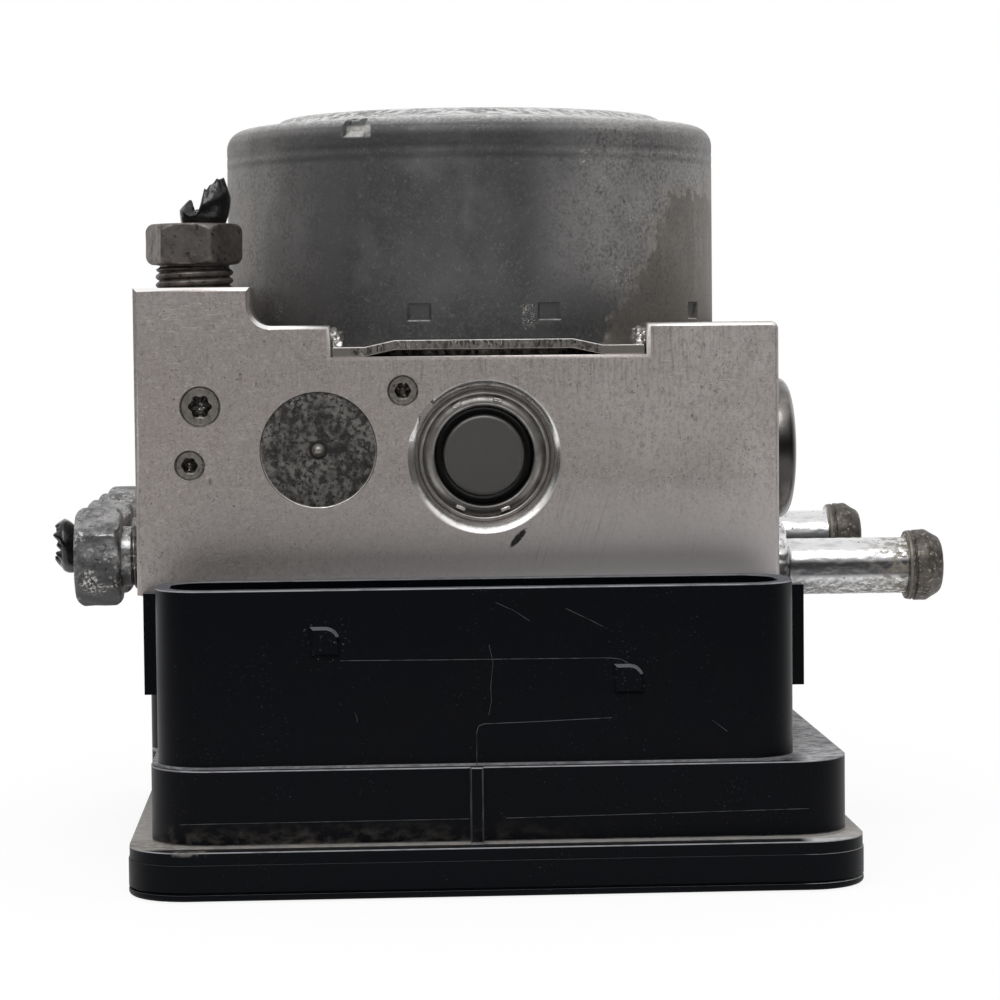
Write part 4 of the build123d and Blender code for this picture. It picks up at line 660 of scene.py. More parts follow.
def blotched_disc():
    """Phosphated cover disc: near black and matt, clouded with grey speckle half a millimetre across."""
    f = Finish("blotched_phosphate", "#777471", 0.6, 0.5)
    f.cover(f.cloud(0.9, 0.46, 0.58, seed=3, detail=5), "#3b3937", 0.7)
    f.cover(f.cloud(0.6, 0.55, 0.63, seed=23, detail=4), "#252322", 0.7)
    f.cover(f.cloud(0.55, 0.58, 0.7, seed=13, detail=4), "#77736f", 0.6)
    f.cover(f.times(f.cloud(5, 0.4, 0.6, seed=6), f.cloud(1.2, 0.3, 0.6, seed=66)), "#2c2a29", 0.7)
    # Dirt round the nub and the nub rubbed bright; the lower part of the rim is painted bright as a painted
    # highlight
    far = f.reach((ACC_X, 0, ACC_Z))
    f.cover(f.between(far, NUB_R + 0.05, NUB_R + 0.35, 0.15), "#242221", 0.7)
    f.cover(f.ramp(far, NUB_R + 0.02, NUB_R - 0.08), "#98938d", 0.42, 0.8)
    low = f.ramp(f.along("Z"), ACC_Z + 2, ACC_Z - 5)
    f.cover(f.times(f.ramp(far, COVER_R - 0.25, COVER_R - 0.15), low), "#d6d1cc", 0.35, 1.0)
    f.relief(f.times(f.cloud(0.6, 0.3, 0.7, seed=8), f.ramp(far, NUB_R, NUB_R + 0.3)), 0.03)
    return f.done()


def plug_steel():
    """Oil-blackened closing plugs: rubbed grey on the flat ring, the key socket painted dark as painted
    shade.
    """
    f = Finish("oiled_plug_steel", "#8f8a85", 0.42, 0.9)
    y = f.along("Y")
    f.cover(f.cloud(1.0, 0.4, 0.65, seed=3), "#77726d", 0.5)
    f.cover(f.cloud(0.5, 0.6, 0.7, seed=7), "#4b4744", 0.55)
    # Painted shade: the key socket, sunk below the flat ring, is made dark
    sunk = f.ramp(y, 0.13 - PLUG_FACE, 0.35 - PLUG_FACE)
    f.cover(sunk, "#5d5956", 0.3, 0.9)
    f.cover(f.times(sunk, f.cloud(0.5, 0.5, 0.6, seed=43)), "#2a2826", 0.4, 0.9)
    glint = f.ramp(y, 0.05 - PLUG_FACE, 0.25 - PLUG_FACE)
    f.cover(f.times(glint, f.cloud(0.4, 0.6, 0.66, seed=33)), "#ece8e2", 0.2, 1.0)
    f.relief(f.cloud(0.5, 0.3, 0.7, seed=5), 0.02)
    return f.done()


def blackened_steel():
    """Oil-blackened steel nut: brown-grey and satin, clouded darker, with a few pale flecks."""
    f = Finish("blackened_steel", "#76716d", 0.44, 0.8)
    f.cover(f.cloud(2.4, 0.4, 0.7, seed=11), "#575350", 0.5)
    f.cover(f.cloud(0.9, 0.55, 0.7, seed=15), "#3c3937", 0.55)
    f.cover(f.cloud(0.4, 0.66, 0.73, seed=19), "#a09990", 0.6, 0.4)
    f.relief(f.cloud(0.8, 0.3, 0.7, seed=13), 0.03)
    return f.done()


def weathered_zinc():
    """Zinc-plated nuts after years of road spray: bright high spots, grey film and white zinc rust; their
    lower half is painted darker as painted shade.
    """
    f = Finish("weathered_zinc", "#a3a2a2", 0.33, 1.0)
    f.cover(f.cloud(2.4, 0.38, 0.62, seed=23), "#6f6e6e", 0.4)
    f.cover(f.cloud(0.7, 0.58, 0.7, seed=27), "#4a4948", 0.5)
    # Painted shade: the lower half of each nut is made darker
    f.cover(f.ramp(f.along("Z"), OUTLET_Z + 0.5, OUTLET_Z - 3.2), "#535252", 0.45)
    rust = f.times(f.cloud(0.5, 0.5, 0.6, seed=31, detail=4), f.cloud(3.5, 0.5, 0.62, seed=37))
    f.cover(rust, "#d4d2cf", 0.7, 0.3)
    f.relief(f.cloud(0.8, 0.3, 0.7, seed=29), 0.03)
    return f.done()


def corroded_spigot():
    """Zinc-plated steel pipe end: bright metal with dark pits, brown-white corrosion on the bead."""
    f = Finish("corroded_zinc_steel", "#e4e4e5", 0.23, 1.0)
    x, y, z = (f.along(a) for a in "XYZ")
    front, back = f.ramp(y, -16, -18), f.ramp(y, -6, -4)
    front_bead = BLOCK_RIGHT + FRONT_SPIGOT[2] - BEAD_REACH
    back_bead = BLOCK_RIGHT + BACK_SPIGOT[2] - BEAD_REACH
    f.cover(f.cloud(1.2, 0.5, 0.8, (2.5, 1, 1), seed=4), "#b9b8b8", 0.3)
    f.cover(f.times(f.spots(0.9, 0.2, seed=5), f.cloud(3, 0.45, 0.6, seed=9)), "#3a3734", 0.7, 0.3)
    # A grey band painted along the front of each tube: a painted reflection of the dim room in front
    film = f.either(f.times(front, f.between(z, 43.3, 45.1, 0.7)), f.times(back, f.ramp(z, 48.6, 46.8)))
    f.cover(f.times(film, f.cloud(0.9, -0.4, 0.5, (3, 1, 1), seed=69)), "#5f5e60", 0.4)
    # Grey film low on the tube and brown crust that creeps in from the bead
    low = f.times(front, f.ramp(z, 43.5, 41.5), f.cloud(0.6, 0.4, 0.6, (1.6, 1, 1), seed=59))
    f.cover(low, "#8f8c89", 0.5, 0.8)
    crust = f.times(f.cloud(0.8, 0.45, 0.58, (1.5, 1, 1), seed=12, detail=5), f.ramp(x, 58, 66), front)
    f.cover(crust, "#8a8377", 0.7, 0.35)
    on_bead = f.either(
        f.times(front, f.ramp(x, front_bead, front_bead + 0.2)),
        f.times(back, f.ramp(x, back_bead, back_bead + 0.2)),
    )
    f.cover(on_bead, "#625d58", 0.5, 0.75)
    f.cover(f.times(on_bead, f.cloud(1.1, 0.45, 0.6, seed=47, detail=3)), "#4a4643", 0.5)
    f.cover(f.times(on_bead, f.cloud(0.6, 0.58, 0.66, seed=17, detail=4)), "#a39b8d", 0.7, 0.3)
    ring = f.either(
        f.times(front, f.between(x, front_bead + 0.2, front_bead + 0.5, 0.1)),
        f.times(back, f.between(x, back_bead + 0.2, back_bead + 0.5, 0.1)),
    )
    f.cover(ring, "#7c776f", 0.5, 0.7)
    f.relief(f.cloud(1.1, 0.3, 0.7, (2.5, 1, 1), seed=7), 0.012)
    return f.done()


def moulded_black():
    """Moulded glass-filled black PBT: blue-black, low sheen, painted highlights along its edges, fine grain,
    dust on its ledges.
    """
    f = Finish("black_pbt_housing", "#03050a", 0.38)
    x, y, z = (f.along(a) for a in "XYZ")
    f.cover(f.cloud(9, 0.4, 0.75, seed=2), "#05060a", 0.42)
    f.cover(f.cloud(0.6, 0.62, 0.8, seed=7), "#0d0f14", 0.5)
    # Painted highlights: pale along the top edges, where they catch the light, and down both sides of the rib
    up_facing_highlight = f.between(f.turned("Z"), 0.3, 0.88, 0.08)
    f.cover(f.times(up_facing_highlight, f.cloud(1.5, 0.0, 0.45, seed=35)), "#58595e", 0.5)
    upright = f.ramp(f.turned("Z"), 0.95, 0.85)
    # Painted highlight lines along the top edges of the rim, the ledge and the flange
    for edge, width in ((HOUSING_TOP, 0.16), (LEDGE_TOP, 0.13), (FLANGE_TOP, 0.13)):
        line = f.times(f.between(z, edge - width, edge + 0.3, 0.07), upright)
        f.cover(f.times(line, f.cloud(2.5, 0.1, 0.5, (2, 1, 1), seed=edge)), "#a3a4a8", 0.5)
    rib_front = f.ramp(y, STEP_FRONT + 0.3, STEP_FRONT + 0.1)
    rib_height = f.between(z, FLANGE_TOP + 0.2, LEDGE_TOP - 0.1, 0.3)
    for side in RIB_SIDES:
        line = f.times(f.between(x, side - 0.09, side + 0.09, 0.08), rib_front, rib_height)
        f.cover(f.times(line, f.cloud(1.5, 0.2, 0.7, (1, 1, 2), seed=side)), "#4b4b4f", 0.5)
    # Dust on the level ledges, thick at the right and behind, only along the wall in front
    up = f.ramp(f.turned("Z"), 0.9, 0.97)
    low = f.times(up, f.ramp(z, 24, 20))
    away = f.either(f.ramp(x, BLOCK_RIGHT - 0.5, BLOCK_RIGHT + 1.5), f.ramp(y, -60, -56))
    f.cover(f.times(low, away, f.cloud(1.2, -0.2, 0.5, seed=5)), "#c4c4c5", 0.85)
    f.cover(f.times(low, f.cloud(0.5, 0.6, 0.75, seed=55)), "#55555a", 0.85)
    f.cover(f.times(up, f.ramp(z, 40, 44), f.cloud(0.8, 0.2, 0.6, (3, 1, 1), seed=65)), "#5e6065", 0.6)
    # Dried dirt along the foot of the middle step, and dust on the two ledges in front
    foot = f.times(f.ramp(z, 11.0, 7.4), f.cloud(1.4, 0.44, 0.66, (1.6, 1, 1), seed=9, detail=5))
    f.cover(f.times(foot, f.ramp(x, 20, -25), f.ramp(z, 7.1, 7.5)), "#46423e", 0.85)
    on_flange = f.times(f.ramp(z, 7.75, 7.35), f.ramp(z, 6.9, 7.2), f.ramp(y, -67.2, -66.7))
    f.cover(f.times(on_flange, f.cloud(0.9, 0.2, 0.6, (2, 1, 1), seed=39)), "#a19d98", 0.85)
    on_step = f.times(f.ramp(z, 18.95, 18.7), f.ramp(z, 18.2, 18.5), f.ramp(y, -65.6, -65.2))
    f.cover(f.times(on_step, f.cloud(0.7, 0.4, 0.62, (2, 1, 1), seed=49)), "#77757a", 0.85)
    # A chip in the flange's edge, torn grey
    chip = f.times(f.between(x, -46.7, -42.4, 0.5), f.ramp(z, 6.5, 6.9), f.ramp(y, -67.8, -68.8))
    f.cover(f.times(chip, f.cloud(0.8, 0.4, 0.55, (1.6, 1, 1), seed=83, detail=5)), "#6b6966", 0.8)
    # Dust caught round the two D-shaped pads
    for pad_x, pad_z in LATCH_PADS:
        near = f.times(f.ramp(f.reach((pad_x, 0, pad_z)), 5.5, 2.8), f.cloud(0.4, 0.66, 0.74, seed=pad_x))
        f.cover(f.times(near, f.ramp(y, SHROUD_FRONT + 5, SHROUD_FRONT + 1)), "#63646a", 0.8)
    # Specks of dust
    specks = f.times(f.cloud(0.25, 0.735, 0.76, seed=11, detail=1), f.cloud(8, 0.45, 0.65, seed=15))
    f.cover(specks, "#46474c", 0.8)
    f.relief(f.cloud(0.3, 0.3, 0.7, seed=13), 0.003)
    # The mould's fine texture scatters what a smooth black would mirror
    return f.done(**{"Specular IOR Level": 0.09})


def rubbed_plastic():
    """Fine raised lines left by the mould and scratches across it: the same plastic, worn grey."""
    f = Finish("rubbed_pbt", "#4f5054", 0.55)
    f.cover(f.cloud(2.0, 0.4, 0.65, seed=4), "#232428", 0.5)
    return f.done(**{"Specular IOR Level": 0.2})


def stock(name, base, other, roughness, metallic, grain):
    """A plain inner piece: its own colour broken up at the size of its grain."""
    f = Finish(name, base, roughness, metallic)
    f.cover(f.cloud(grain * 6, 0.35, 0.7, seed=1), other, min(1.0, roughness + 0.12))
    f.relief(f.cloud(grain, 0.3, 0.7, seed=2), grain * 0.04)
    return f.done()


# ---------------------------------------------------------------- motor can and end plate
def turn_gap(a, degrees):
    """Angle from a turn counted from the front, where the front is -Y."""
    gap = a - math.radians(degrees - 90)
    return (gap + math.pi) % (2 * math.pi) - math.pi


def pressed(u, v, edge):
    """Depth share of a square punch mark, deepest at its foot; u and v run from -1 to 1 inside it."""
    wall = min(1.0, max(0.0, (1 - abs(u)) / edge)) * min(1.0, max(0.0, (1 - abs(v)) / edge))
    return wall * (0.4 + 0.6 * (1 - v) / 2)


def can_shape(a, r, z):
    """The can's wall with its square crimps and the two corner notches punched in its shoulder."""
    if r > CAN_R - CAN_WALL / 2 and z < SHOULDER_Z:
        for degrees in DIMPLE_TURNS:
            u = turn_gap(a, degrees) * CAN_R / (DIMPLE_WIDTH / 2)
            v = (z - DIMPLE_MIDDLE) / (DIMPLE_HEIGHT / 2)
            if abs(u) < 1 and abs(v) < 1:
                r -= DIMPLE_DEPTH * pressed(u, v, 0.16)
    if z >= SHOULDER_Z and r > CAN_R - SHOULDER_R:
        for degrees in NOTCH_TURNS:
            u = turn_gap(a, degrees) * CAN_R / (DIMPLE_WIDTH / 2)
            if abs(u) < 1:
                share = math.atan2(z - SHOULDER_Z, r - CAN_R + SHOULDER_R) / (math.pi / 2)
                inward = min(1.0, share / 0.5)
                rise = max(0.0, share / 0.5 - 1)
                wall = min(1.0, (1 - abs(u)) / 0.14)
                r += (CAN_R - NOTCH_DEPTH * inward - NOTCH_LEAN * rise - r) * wall
                z += (SHOULDER_Z - 0.1 + NOTCH_SILL * inward + NOTCH_HEIGHT * rise - z) * wall
    return r, z


def can_angles():
    """Even steps with closer ones across every punch mark."""
    marks = [math.radians(t - 90) % (2 * math.pi) for t in DIMPLE_TURNS + NOTCH_TURNS]
    half = DIMPLE_WIDTH / 2 / CAN_R
    wanted = set(even(168))
    for mark in marks:
        wanted |= {(mark + half * (-1.04 + 0.08 * i)) % (2 * math.pi) for i in range(27)}
    ordered = sorted(wanted)
    kept = [ordered[0]]
    for a in ordered[1:]:
        if a - kept[-1] > 0.002:
            kept.append(a)
    return kept


def motor_can(material):
    """The drawn can: straight side with faint die lines, rounded shoulder, stepped crown and inner wall."""
    side = [Vector((CAN_R, h)) for h in (PLATE_TOP, 81.0, 82.5)]
    side += [Vector((CAN_R, DIMPLE_MIDDLE - 1.6 + 0.2 * i)) for i in range(17)]
    side += [Vector((CAN_R, h)) for h in (88, 92, 97, 102, 106, 108.3)]
    side += [Vector((CAN_R - sunk, h)) for sunk, h in DIE_LINES]
    middle = CAN_R - SHOULDER_R
    turns = [math.pi / 2 * i / 26 for i in range(27)]
    bend = [Vector((middle + SHOULDER_R * math.cos(t), SHOULDER_Z + SHOULDER_R * math.sin(t))) for t in turns]
    crown = rounded([
        bend[-1].to_tuple() + (0,), (CAN_R - 7.6, CAN_TOP - 1.5, 0.8), (CAN_R - 9.2, CAN_TOP - 0.25, 0.9),
        (20, CAN_TOP, 3), (0, CAN_TOP - 0.1, 0),
    ])
    wall = CAN_R - CAN_WALL
    inside = rounded([
        (0, CAN_TOP - 0.1 - CAN_WALL, 0), (CAN_R - 11.0, CAN_TOP - CAN_WALL, 0.6),
        (wall - 2.2, 113.3, 1.5), (wall, 110.5, 1.5), (wall, PLATE_TOP, 0),
    ], 2)
    path = side + bend + dense(crown, 2.5)[1:] + inside
    made = polar("motor_can_shell", path, can_angles(), can_shape, loop=True, crease=28)
    return dressed(made, material, "can_steel", "motor_can")


def valve_block(material):
    """The block, with its left face relieved by a cutter's depth below the pipe ports."""
    work = merged("hydraulic_block")
    for height in (FOOT_TOP, FOOT_TOP - 0.15):
        bmesh.ops.bisect_plane(
            work, geom=work.verts[:] + work.edges[:] + work.faces[:],
            plane_co=(0, 0, height * MM), plane_no=(0, 0, 1),
        )
    relieved = (BLOCK_LEFT + FOOT_RELIEF) * MM
    for v in work.verts:
        if v.co.z < (FOOT_TOP - 0.1) * MM and v.co.x < relieved:
            v.co.x = relieved
    made = crisp(mesh_object("valve_block_milled", work, 25))
    return dressed(made, material, "cast_aluminium", "hydraulic_block")


def end_plate(material):
    """The pressed plate with its edges broken."""
    made = softened("motor_end_plate", 0.2, clamp=False)
    return dressed(made, material, "plate_steel", "motor_end_plate")


def stake_lump(name, x, y, z, size, seed, material):
    """Block metal that a punch has pushed over the end plate: a torn, lumpy bead."""
    path = rounded([(0, -size, 0), (size, -size, size), (size, size, size), (0, size * 1.1, 0)], 7)
    path[0].x = path[-1].x = 0

    def torn(a, r, h):
        grow = 1 + lumps(math.cos(a) * r, math.sin(a) * r, h, size * 0.7, 0.7, seed)
        return r * grow, h * grow

    made = polar(name, path, even(28), torn, place=Matrix.Translation((x, y, z)), crease=50)
    return dressed(made, material, "cast_aluminium")


# ---------------------------------------------------------------- pump plugs and accumulator covers
def pump_plug(end, side, material):
    """The staked plug: bright lip, fine groove, dished ring, deep dark groove and a rounded centre face."""
    path = rounded([
        (0, 41.75, 0), (5.9, 41.7, 0.4), (GROOVE_IN, 41.3, 0.3), (GROOVE_IN, 39.6, 0.2), (7.35, 39.6, 0.2),
        (GROOVE_OUT, 42.2, 0.2), (7.95, 42.55, 0.4), (8.8, 42.35, 0.4), (9.25, 42.0, 0.15),
        (9.35, 41.85, 0.1), (9.42, 42.5, 0.15), (9.6, 42.62, 0.2), (10.05, 42.6, 0.2), (10.15, 42.2, 0.15),
        (10.15, 38.0, 0), (0, 38.0, 0),
    ], 3)
    node = "pump_plug_" + end
    made = polar(node + "_turned", path, even(96), place=facing_y(side, 0, PUMP_Z), crease=30)
    return dressed(made, material, "bright_steel", node)


def cover_disc(end, side, material):
    """The pressed cover with its centring nub and a bright rolled rim."""
    path = rounded([
        (0, 45.75, 0), (0.5, 45.65, 0.3), (0.88, 45.1, 0.3), (NUB_R, 44.8, 0.1), (1.3, 44.82, 0.1),
        (8.2, 44.9, 0.3), (8.5, 44.75, 0.15), (8.8, 44.92, 0.1), (COVER_R, 44.6, 0.05), (COVER_R, 42.0, 0),
        (0, 42.0, 0),
    ], 3)

    def dented(a, r, z):
        flat = 1.4 < r < 8
        return r, z + (lumps(r * math.cos(a), r * math.sin(a), 0, 2.4, 0.07) if flat else 0)

    node = "accumulator_cover_" + end
    place = facing_y(side, ACC_X, ACC_Z)
    made = polar(node + "_pressed", dense(path, 0.8), even(80), dented, place=place, crease=30)
    return dressed(made, material, "dark_steel", node)


def sealing_plug(index, material):
    """A closing plug with a six-lobed key socket and a ball at its bottom; the first is the largest."""
    x, z, radius = PLUGS[index]
    share, lobe = (0.52, 0.11) if index == 0 else (0.5, 0.05)
    key = radius * share
    face = PLUG_FACE
    path = rounded([
        (0, face - 1.0, 0), (key * 0.55, face - 1.25, 0.2), (key * 0.98, face - 1.5, 0.1),
        (key, face - 0.12, 0.15), (key * 1.12, face - 0.02, 0.1), (radius - 0.3, face, 0.1),
        (radius - 0.16, face - 0.22, 0.08), (radius - 0.03, face - 0.1, 0.05), (radius, face - 0.4, 0),
        (radius, face - PLUG_DEPTH, 0), (0, face - PLUG_DEPTH, 0),
    ], 3)
    path[0].y = face - 0.72

    def lobed(a, r, h):
        if r < key * 1.13 and h < face - 0.01:
            r *= 1 + lobe * math.cos(6 * a) * min(1.0, r / key)
        return r, h

    name = "sealing_plug_" + str(index + 1)
    made = polar(name, path, even(72), lobed, place=facing_y(-1, x, z), crease=35)
    return dressed(made, material, "dark_steel")


# ---------------------------------------------------------------- pipe nuts and torn pipes
def worn_least(a, b):
    """The smaller of two radii, with the corner between them worn round."""
    return -math.log(math.exp(-CORNER_WEAR * a) + math.exp(-CORNER_WEAR * b)) / CORNER_WEAR


def hexagon(a, half_flats, turn):
    """Radius of a hexagon with worn corners at an angle."""
    gap = (a - turn) % (math.pi / 3) - math.pi / 6
    return worn_least(half_flats / math.cos(gap), half_flats * 1.145)


def pipe_nut(node, place, turn, seed, material, slot, thread_r, pitch, thread_end, neck, height, wear):
    """A union nut: thread turns up to an undercut, then a hexagon with chamfered ends."""
    bore, half = NUT_BORE_R, NUT_FLATS / 2
    top = neck + height
    rows = [Vector((bore, -2)), Vector((thread_r - 0.6, -2))]
    rows += [Vector((thread_r, i * neck / 40)) for i in range(40)]
    rows += [Vector((half * 0.9, neck))]
    rows += [Vector((half, neck + 0.05 + i * (height - 0.1) / 32)) for i in range(33)]
    rows += [Vector((half * 0.9, top)), Vector((half * 0.75, top)), Vector((bore + 0.3, top - 0.05))]
    rows += [Vector((bore, top - 0.5)), Vector((bore, top - 3))]

    def turned(a, r, z):
        if r == thread_r:
            phase = (z / pitch - a / (2 * math.pi)) % 1.0
            crest = abs(phase * 2 - 1)
            fade = min(1.0, max(0.0, (thread_end - z) / 0.4))
            filled = 0.3 * (z > thread_end) * (thread_end < 2)
            r = thread_r - THREAD_DEPTH + THREAD_DEPTH * (1 - (1 - crest) ** 2) * fade + filled
        elif abs(r - half) < 0.001:
            end = min(z - neck, top - z)
            r = worn_least(hexagon(a, half, turn), half * 0.95 + math.sqrt(max(0.0, end)) * half * 0.19)
        if r > bore + 0.5 and z > 0.2:
            x, y = r * math.cos(a), r * math.sin(a)
            r += lumps(x, y, z, 2.2, wear, seed) + lumps(x, y, z, 0.8, wear * 0.3, seed + 3)
        return r, z

    made = polar(node + "_worn", rows, even(180), turned, loop=True, place=place, crease=36)
    return dressed(made, material, slot, node)


def torn_stub(name, place, radius, heights, lean, shift, seed, material, node):
    """A sleeve torn off round its pipe: ragged rim, swollen wall and a second, shorter layer inside."""
    def rim(a):
        turn = math.degrees(a) % 360
        for (t0, h0), (t1, h1) in zip(heights, heights[1:]):
            if t0 <= turn <= t1:
                share = (turn - t0) / (t1 - t0)
                return h0 + (h1 - h0) * (share * share * (3 - 2 * share))
        return heights[-1][1]

    rows = [Vector((radius, i / 12)) for i in range(13)]
    rows += [Vector((radius - 0.35, 1.0)), Vector((radius - 0.8, 0.9)), Vector((radius - 1.0, 0.55))]
    rows += [Vector((radius - 1.15, 0.3)), Vector((radius - 1.5, 0.62)), Vector((radius - 1.9, 0.58))]
    rows += [Vector((radius - 2.0, 0.2)), Vector((radius - 2.1, -0.1)), Vector((radius, -0.1))]

    def torn(a, r, share):
        x, y = math.cos(a) * 2, math.sin(a) * 2
        tall = rim(a) + lumps(x, y, 0, 0.5, 0.7, seed) * (share > 0.8)
        bulge = 0.55 * math.sin(math.pi * min(1.0, max(0.0, share)))
        swell = bulge + lumps(x, y, share * 2, 1.3, 0.25, seed + 5)
        pull = 1 - 0.5 * max(0.0, share - 0.6) * (r > radius - 1)
        return (r + swell) * pull, share * tall

    made = polar(name, rows, even(120), torn, loop=True, crease=55)
    for v in made.data.vertices:
        v.co.x += v.co.z * lean + shift * MM
    made.data.transform(Matrix.Scale(MM, 4) @ place @ Matrix.Scale(1 / MM, 4))
    return dressed(made, material, "sleeve_black", node)


# ---------------------------------------------------------------- cap and hose spigots
def side_cap(material):
    """The spun, domed cap on the right face."""
    path = rounded([
        (0, 3.9, 0), (7.0, 3.8, 3.0), (9.7, 3.4, 1.6), (10.9, 2.5, 1.3), (11.1, 1.4, 0.6), (11.1, 0.3, 0.2),
        (10.7, 0.12, 0.1), (0, 0.12, 0),
    ], 5)
    place = facing_x(1, BLOCK_RIGHT, *CAP_PLACE)
    made = polar("side_cap_spun", dense(path, 0.9), even(96), place=place, crease=40)
    return dressed(made, material, "zinc_steel", "side_cap")


def hose_spigot(name, node, where, seed, material):
    """A beaded hose spigot with a hammered collar and corrosion-eaten bead."""
    y, z, length = where
    bead = length - BEAD_REACH
    path = rounded([
        (3.2, 0.05, 0), (7.5, 0.05, 0), (7.55, 1.4, 0.6), (6.9, 2.4, 0.7), (5.5, 2.9, 0.5), (4.7, 3.0, 0.2),
        (4.4, 3.3, 0.2), (4.4, bead, 0.1), (5.35, bead + 0.1, 0.15), (5.5, bead + 0.9, 0.15),
        (5.3, bead + 1.1, 0.1), (5.55, bead + 1.4, 0.2), (5.6, bead + 3.2, 0.4), (4.3, length - 0.3, 0.5),
        (3.5, length, 0.3), (3.2, length - 0.4, 0.1), (3.2, length - 9, 0),
    ], 4)

    def eaten(a, r, h):
        across, up = r * math.cos(a), r * math.sin(a)
        if r > 4.9 and h < 3.2:
            r += lumps(across, up, h, 1.8, 0.6, seed) + lumps(across, up, h, 0.7, 0.2, seed + 2)
            h += lumps(across, up, h, 1.4, 0.7, seed + 6) * (h > 0.5)
        elif r > 3.6 and h > 3.2:
            rough = 0.1 if h > bead + 1.2 else 0.04
            pitted = max(0.0, lumps(across, up, h, 0.7, 0.4, seed + 9) - 0.2)
            r += lumps(across, up, h, 0.9, rough, seed) - pitted
        return r, h

    place = facing_x(1, BLOCK_RIGHT, y, z)
    made = polar(name, dense(path, 0.4), even(112), eaten, loop=True, place=place, crease=35)
    return dressed(made, material, "zinc_steel", node)


# ---------------------------------------------------------------- control unit
def moulding(node, material):
    """A moulded half of the control unit, with its mould's rounded edges."""
    return dressed(softened(node, 0.3), material, "black_moulding", node)


def contact_tree():
    """Square contacts with tapered tips, in rows: a cube's upper ring drawn in, its middle ring moved up."""
    tree, size = grower(
        "plug_contacts", Columns="Int", Rows="Int", Pitch="Float", Row_Pitch="Float", Width="Float",
        Thickness="Float", Length="Float", Tip="Float", Finish="Material",
    )
    bar = add(tree, "GeometryNodeMeshCube", {"Size": (1, 1, 1), "Vertices Z": 3})
    at = add(tree, "GeometryNodeInputPosition")
    parts = add(tree, "ShaderNodeSeparateXYZ", {0: at}).node.outputs
    z = parts["Z"]
    narrow = add(tree, "ShaderNodeMapRange", {"Value": z, "From Max": 0.5, "To Min": 1.0, "To Max": 0.4})
    shank = add(tree, "ShaderNodeMath", {0: size["Length"], 1: size["Tip"]}, operation="SUBTRACT")
    low = add(tree, "ShaderNodeMapRange", {"Value": z, "From Min": -0.5, "From Max": 0.0, "To Max": shank})
    high = add(tree, "ShaderNodeMapRange", {"Value": z, "From Max": 0.5, "To Max": size["Tip"]})
    place = {"Z": add(tree, "ShaderNodeMath", {0: low, 1: high})}
    for axis, side in (("X", "Width"), ("Y", "Thickness")):
        wide = add(tree, "ShaderNodeMath", {0: parts[axis], 1: size[side]}, operation="MULTIPLY")
        place[axis] = add(tree, "ShaderNodeMath", {0: wide, 1: narrow}, operation="MULTIPLY")
    place = add(tree, "ShaderNodeCombineXYZ", place)
    contact = add(tree, "GeometryNodeSetPosition", {"Geometry": bar, "Position": place})
    spread = []
    for count, pitch in (("Columns", "Pitch"), ("Rows", "Row Pitch")):
        gaps = add(tree, "ShaderNodeMath", {0: size[count], 1: 1.0}, operation="SUBTRACT")
        spread.append(add(tree, "ShaderNodeMath", {0: gaps, 1: size[pitch]}, operation="MULTIPLY"))
    field = add(tree, "GeometryNodeMeshGrid", {
        "Size X": spread[0], "Size Y": spread[1], "Vertices X": size["Columns"], "Vertices Y": size["Rows"],
    })
    rows = add(tree, "GeometryNodeInstanceOnPoints", {"Points": field, "Instance": contact})
    return ended(tree, rows, size["Finish"])


def plug_contacts(material):
    """The plug socket's tinned contacts: two rows of square pins and four wide supply blades."""
    tree = contact_tree()
    blades_x = CONTACTS_X + PINS["Columns"] * PINS["Pitch"]
    for name, kind, first, nodes in (
        ("signal_pins", PINS, CONTACTS_X, ("connector_pins",)), ("supply_blades", BLADES, blades_x, ()),
    ):
        sizes = {key: value * MM for key, value in kind.items() if key != "Columns"}
        made = grown(
            name, tree, bpy.data.meshes.new(name), Columns=kind["Columns"], Rows=2, Row_Pitch=ROW_PITCH * MM,
            Length=(CONTACTS_TOP - BOARD_TOP) * MM, Tip=CONTACT_TIP * MM, Finish=material, **sizes,
        )
        centre = first + (kind["Columns"] - 1) * kind["Pitch"] / 2
        made.data.transform(Matrix.Translation(Vector((centre, CONTACTS_Y, BOARD_TOP)) * MM))
        dressed(made, material, "bright_steel", *nodes)


def line_tree():
    """Fine raised lines: a round section carried along each path."""
    tree, size = grower("raised_lines", Radius="Float", Finish="Material")
    curve = add(tree, "GeometryNodeMeshToCurve", {"Mesh": size["Geometry"]})
    section = add(tree, "GeometryNodeCurvePrimitiveCircle", {"Resolution": 6, "Radius": size["Radius"]})
    ridge = add(tree, "GeometryNodeCurveToMesh", {
        "Curve": curve, "Profile Curve": section, "Fill Caps": True,
    })
    return ended(tree, ridge, size["Finish"])


def mould_lines(material):
    """Insert lines that the mould left on the housing's front, and scratches across them."""
    tree = line_tree()
    for name, radius, depth, paths in MOULD_LINES:
        points = [Vector((x, depth, z)) * MM for path in paths for x, z in path]
        edges, first = [], 0
        for path in paths:
            edges += [(first + i, first + i + 1) for i in range(len(path) - 1)]
            first += len(path)
        start = bpy.data.meshes.new(name)
        start.from_pydata(points, edges, [])
        made = grown(name, tree, start, Radius=radius * MM, Finish=material)
        dressed(made, material, "black_moulding")


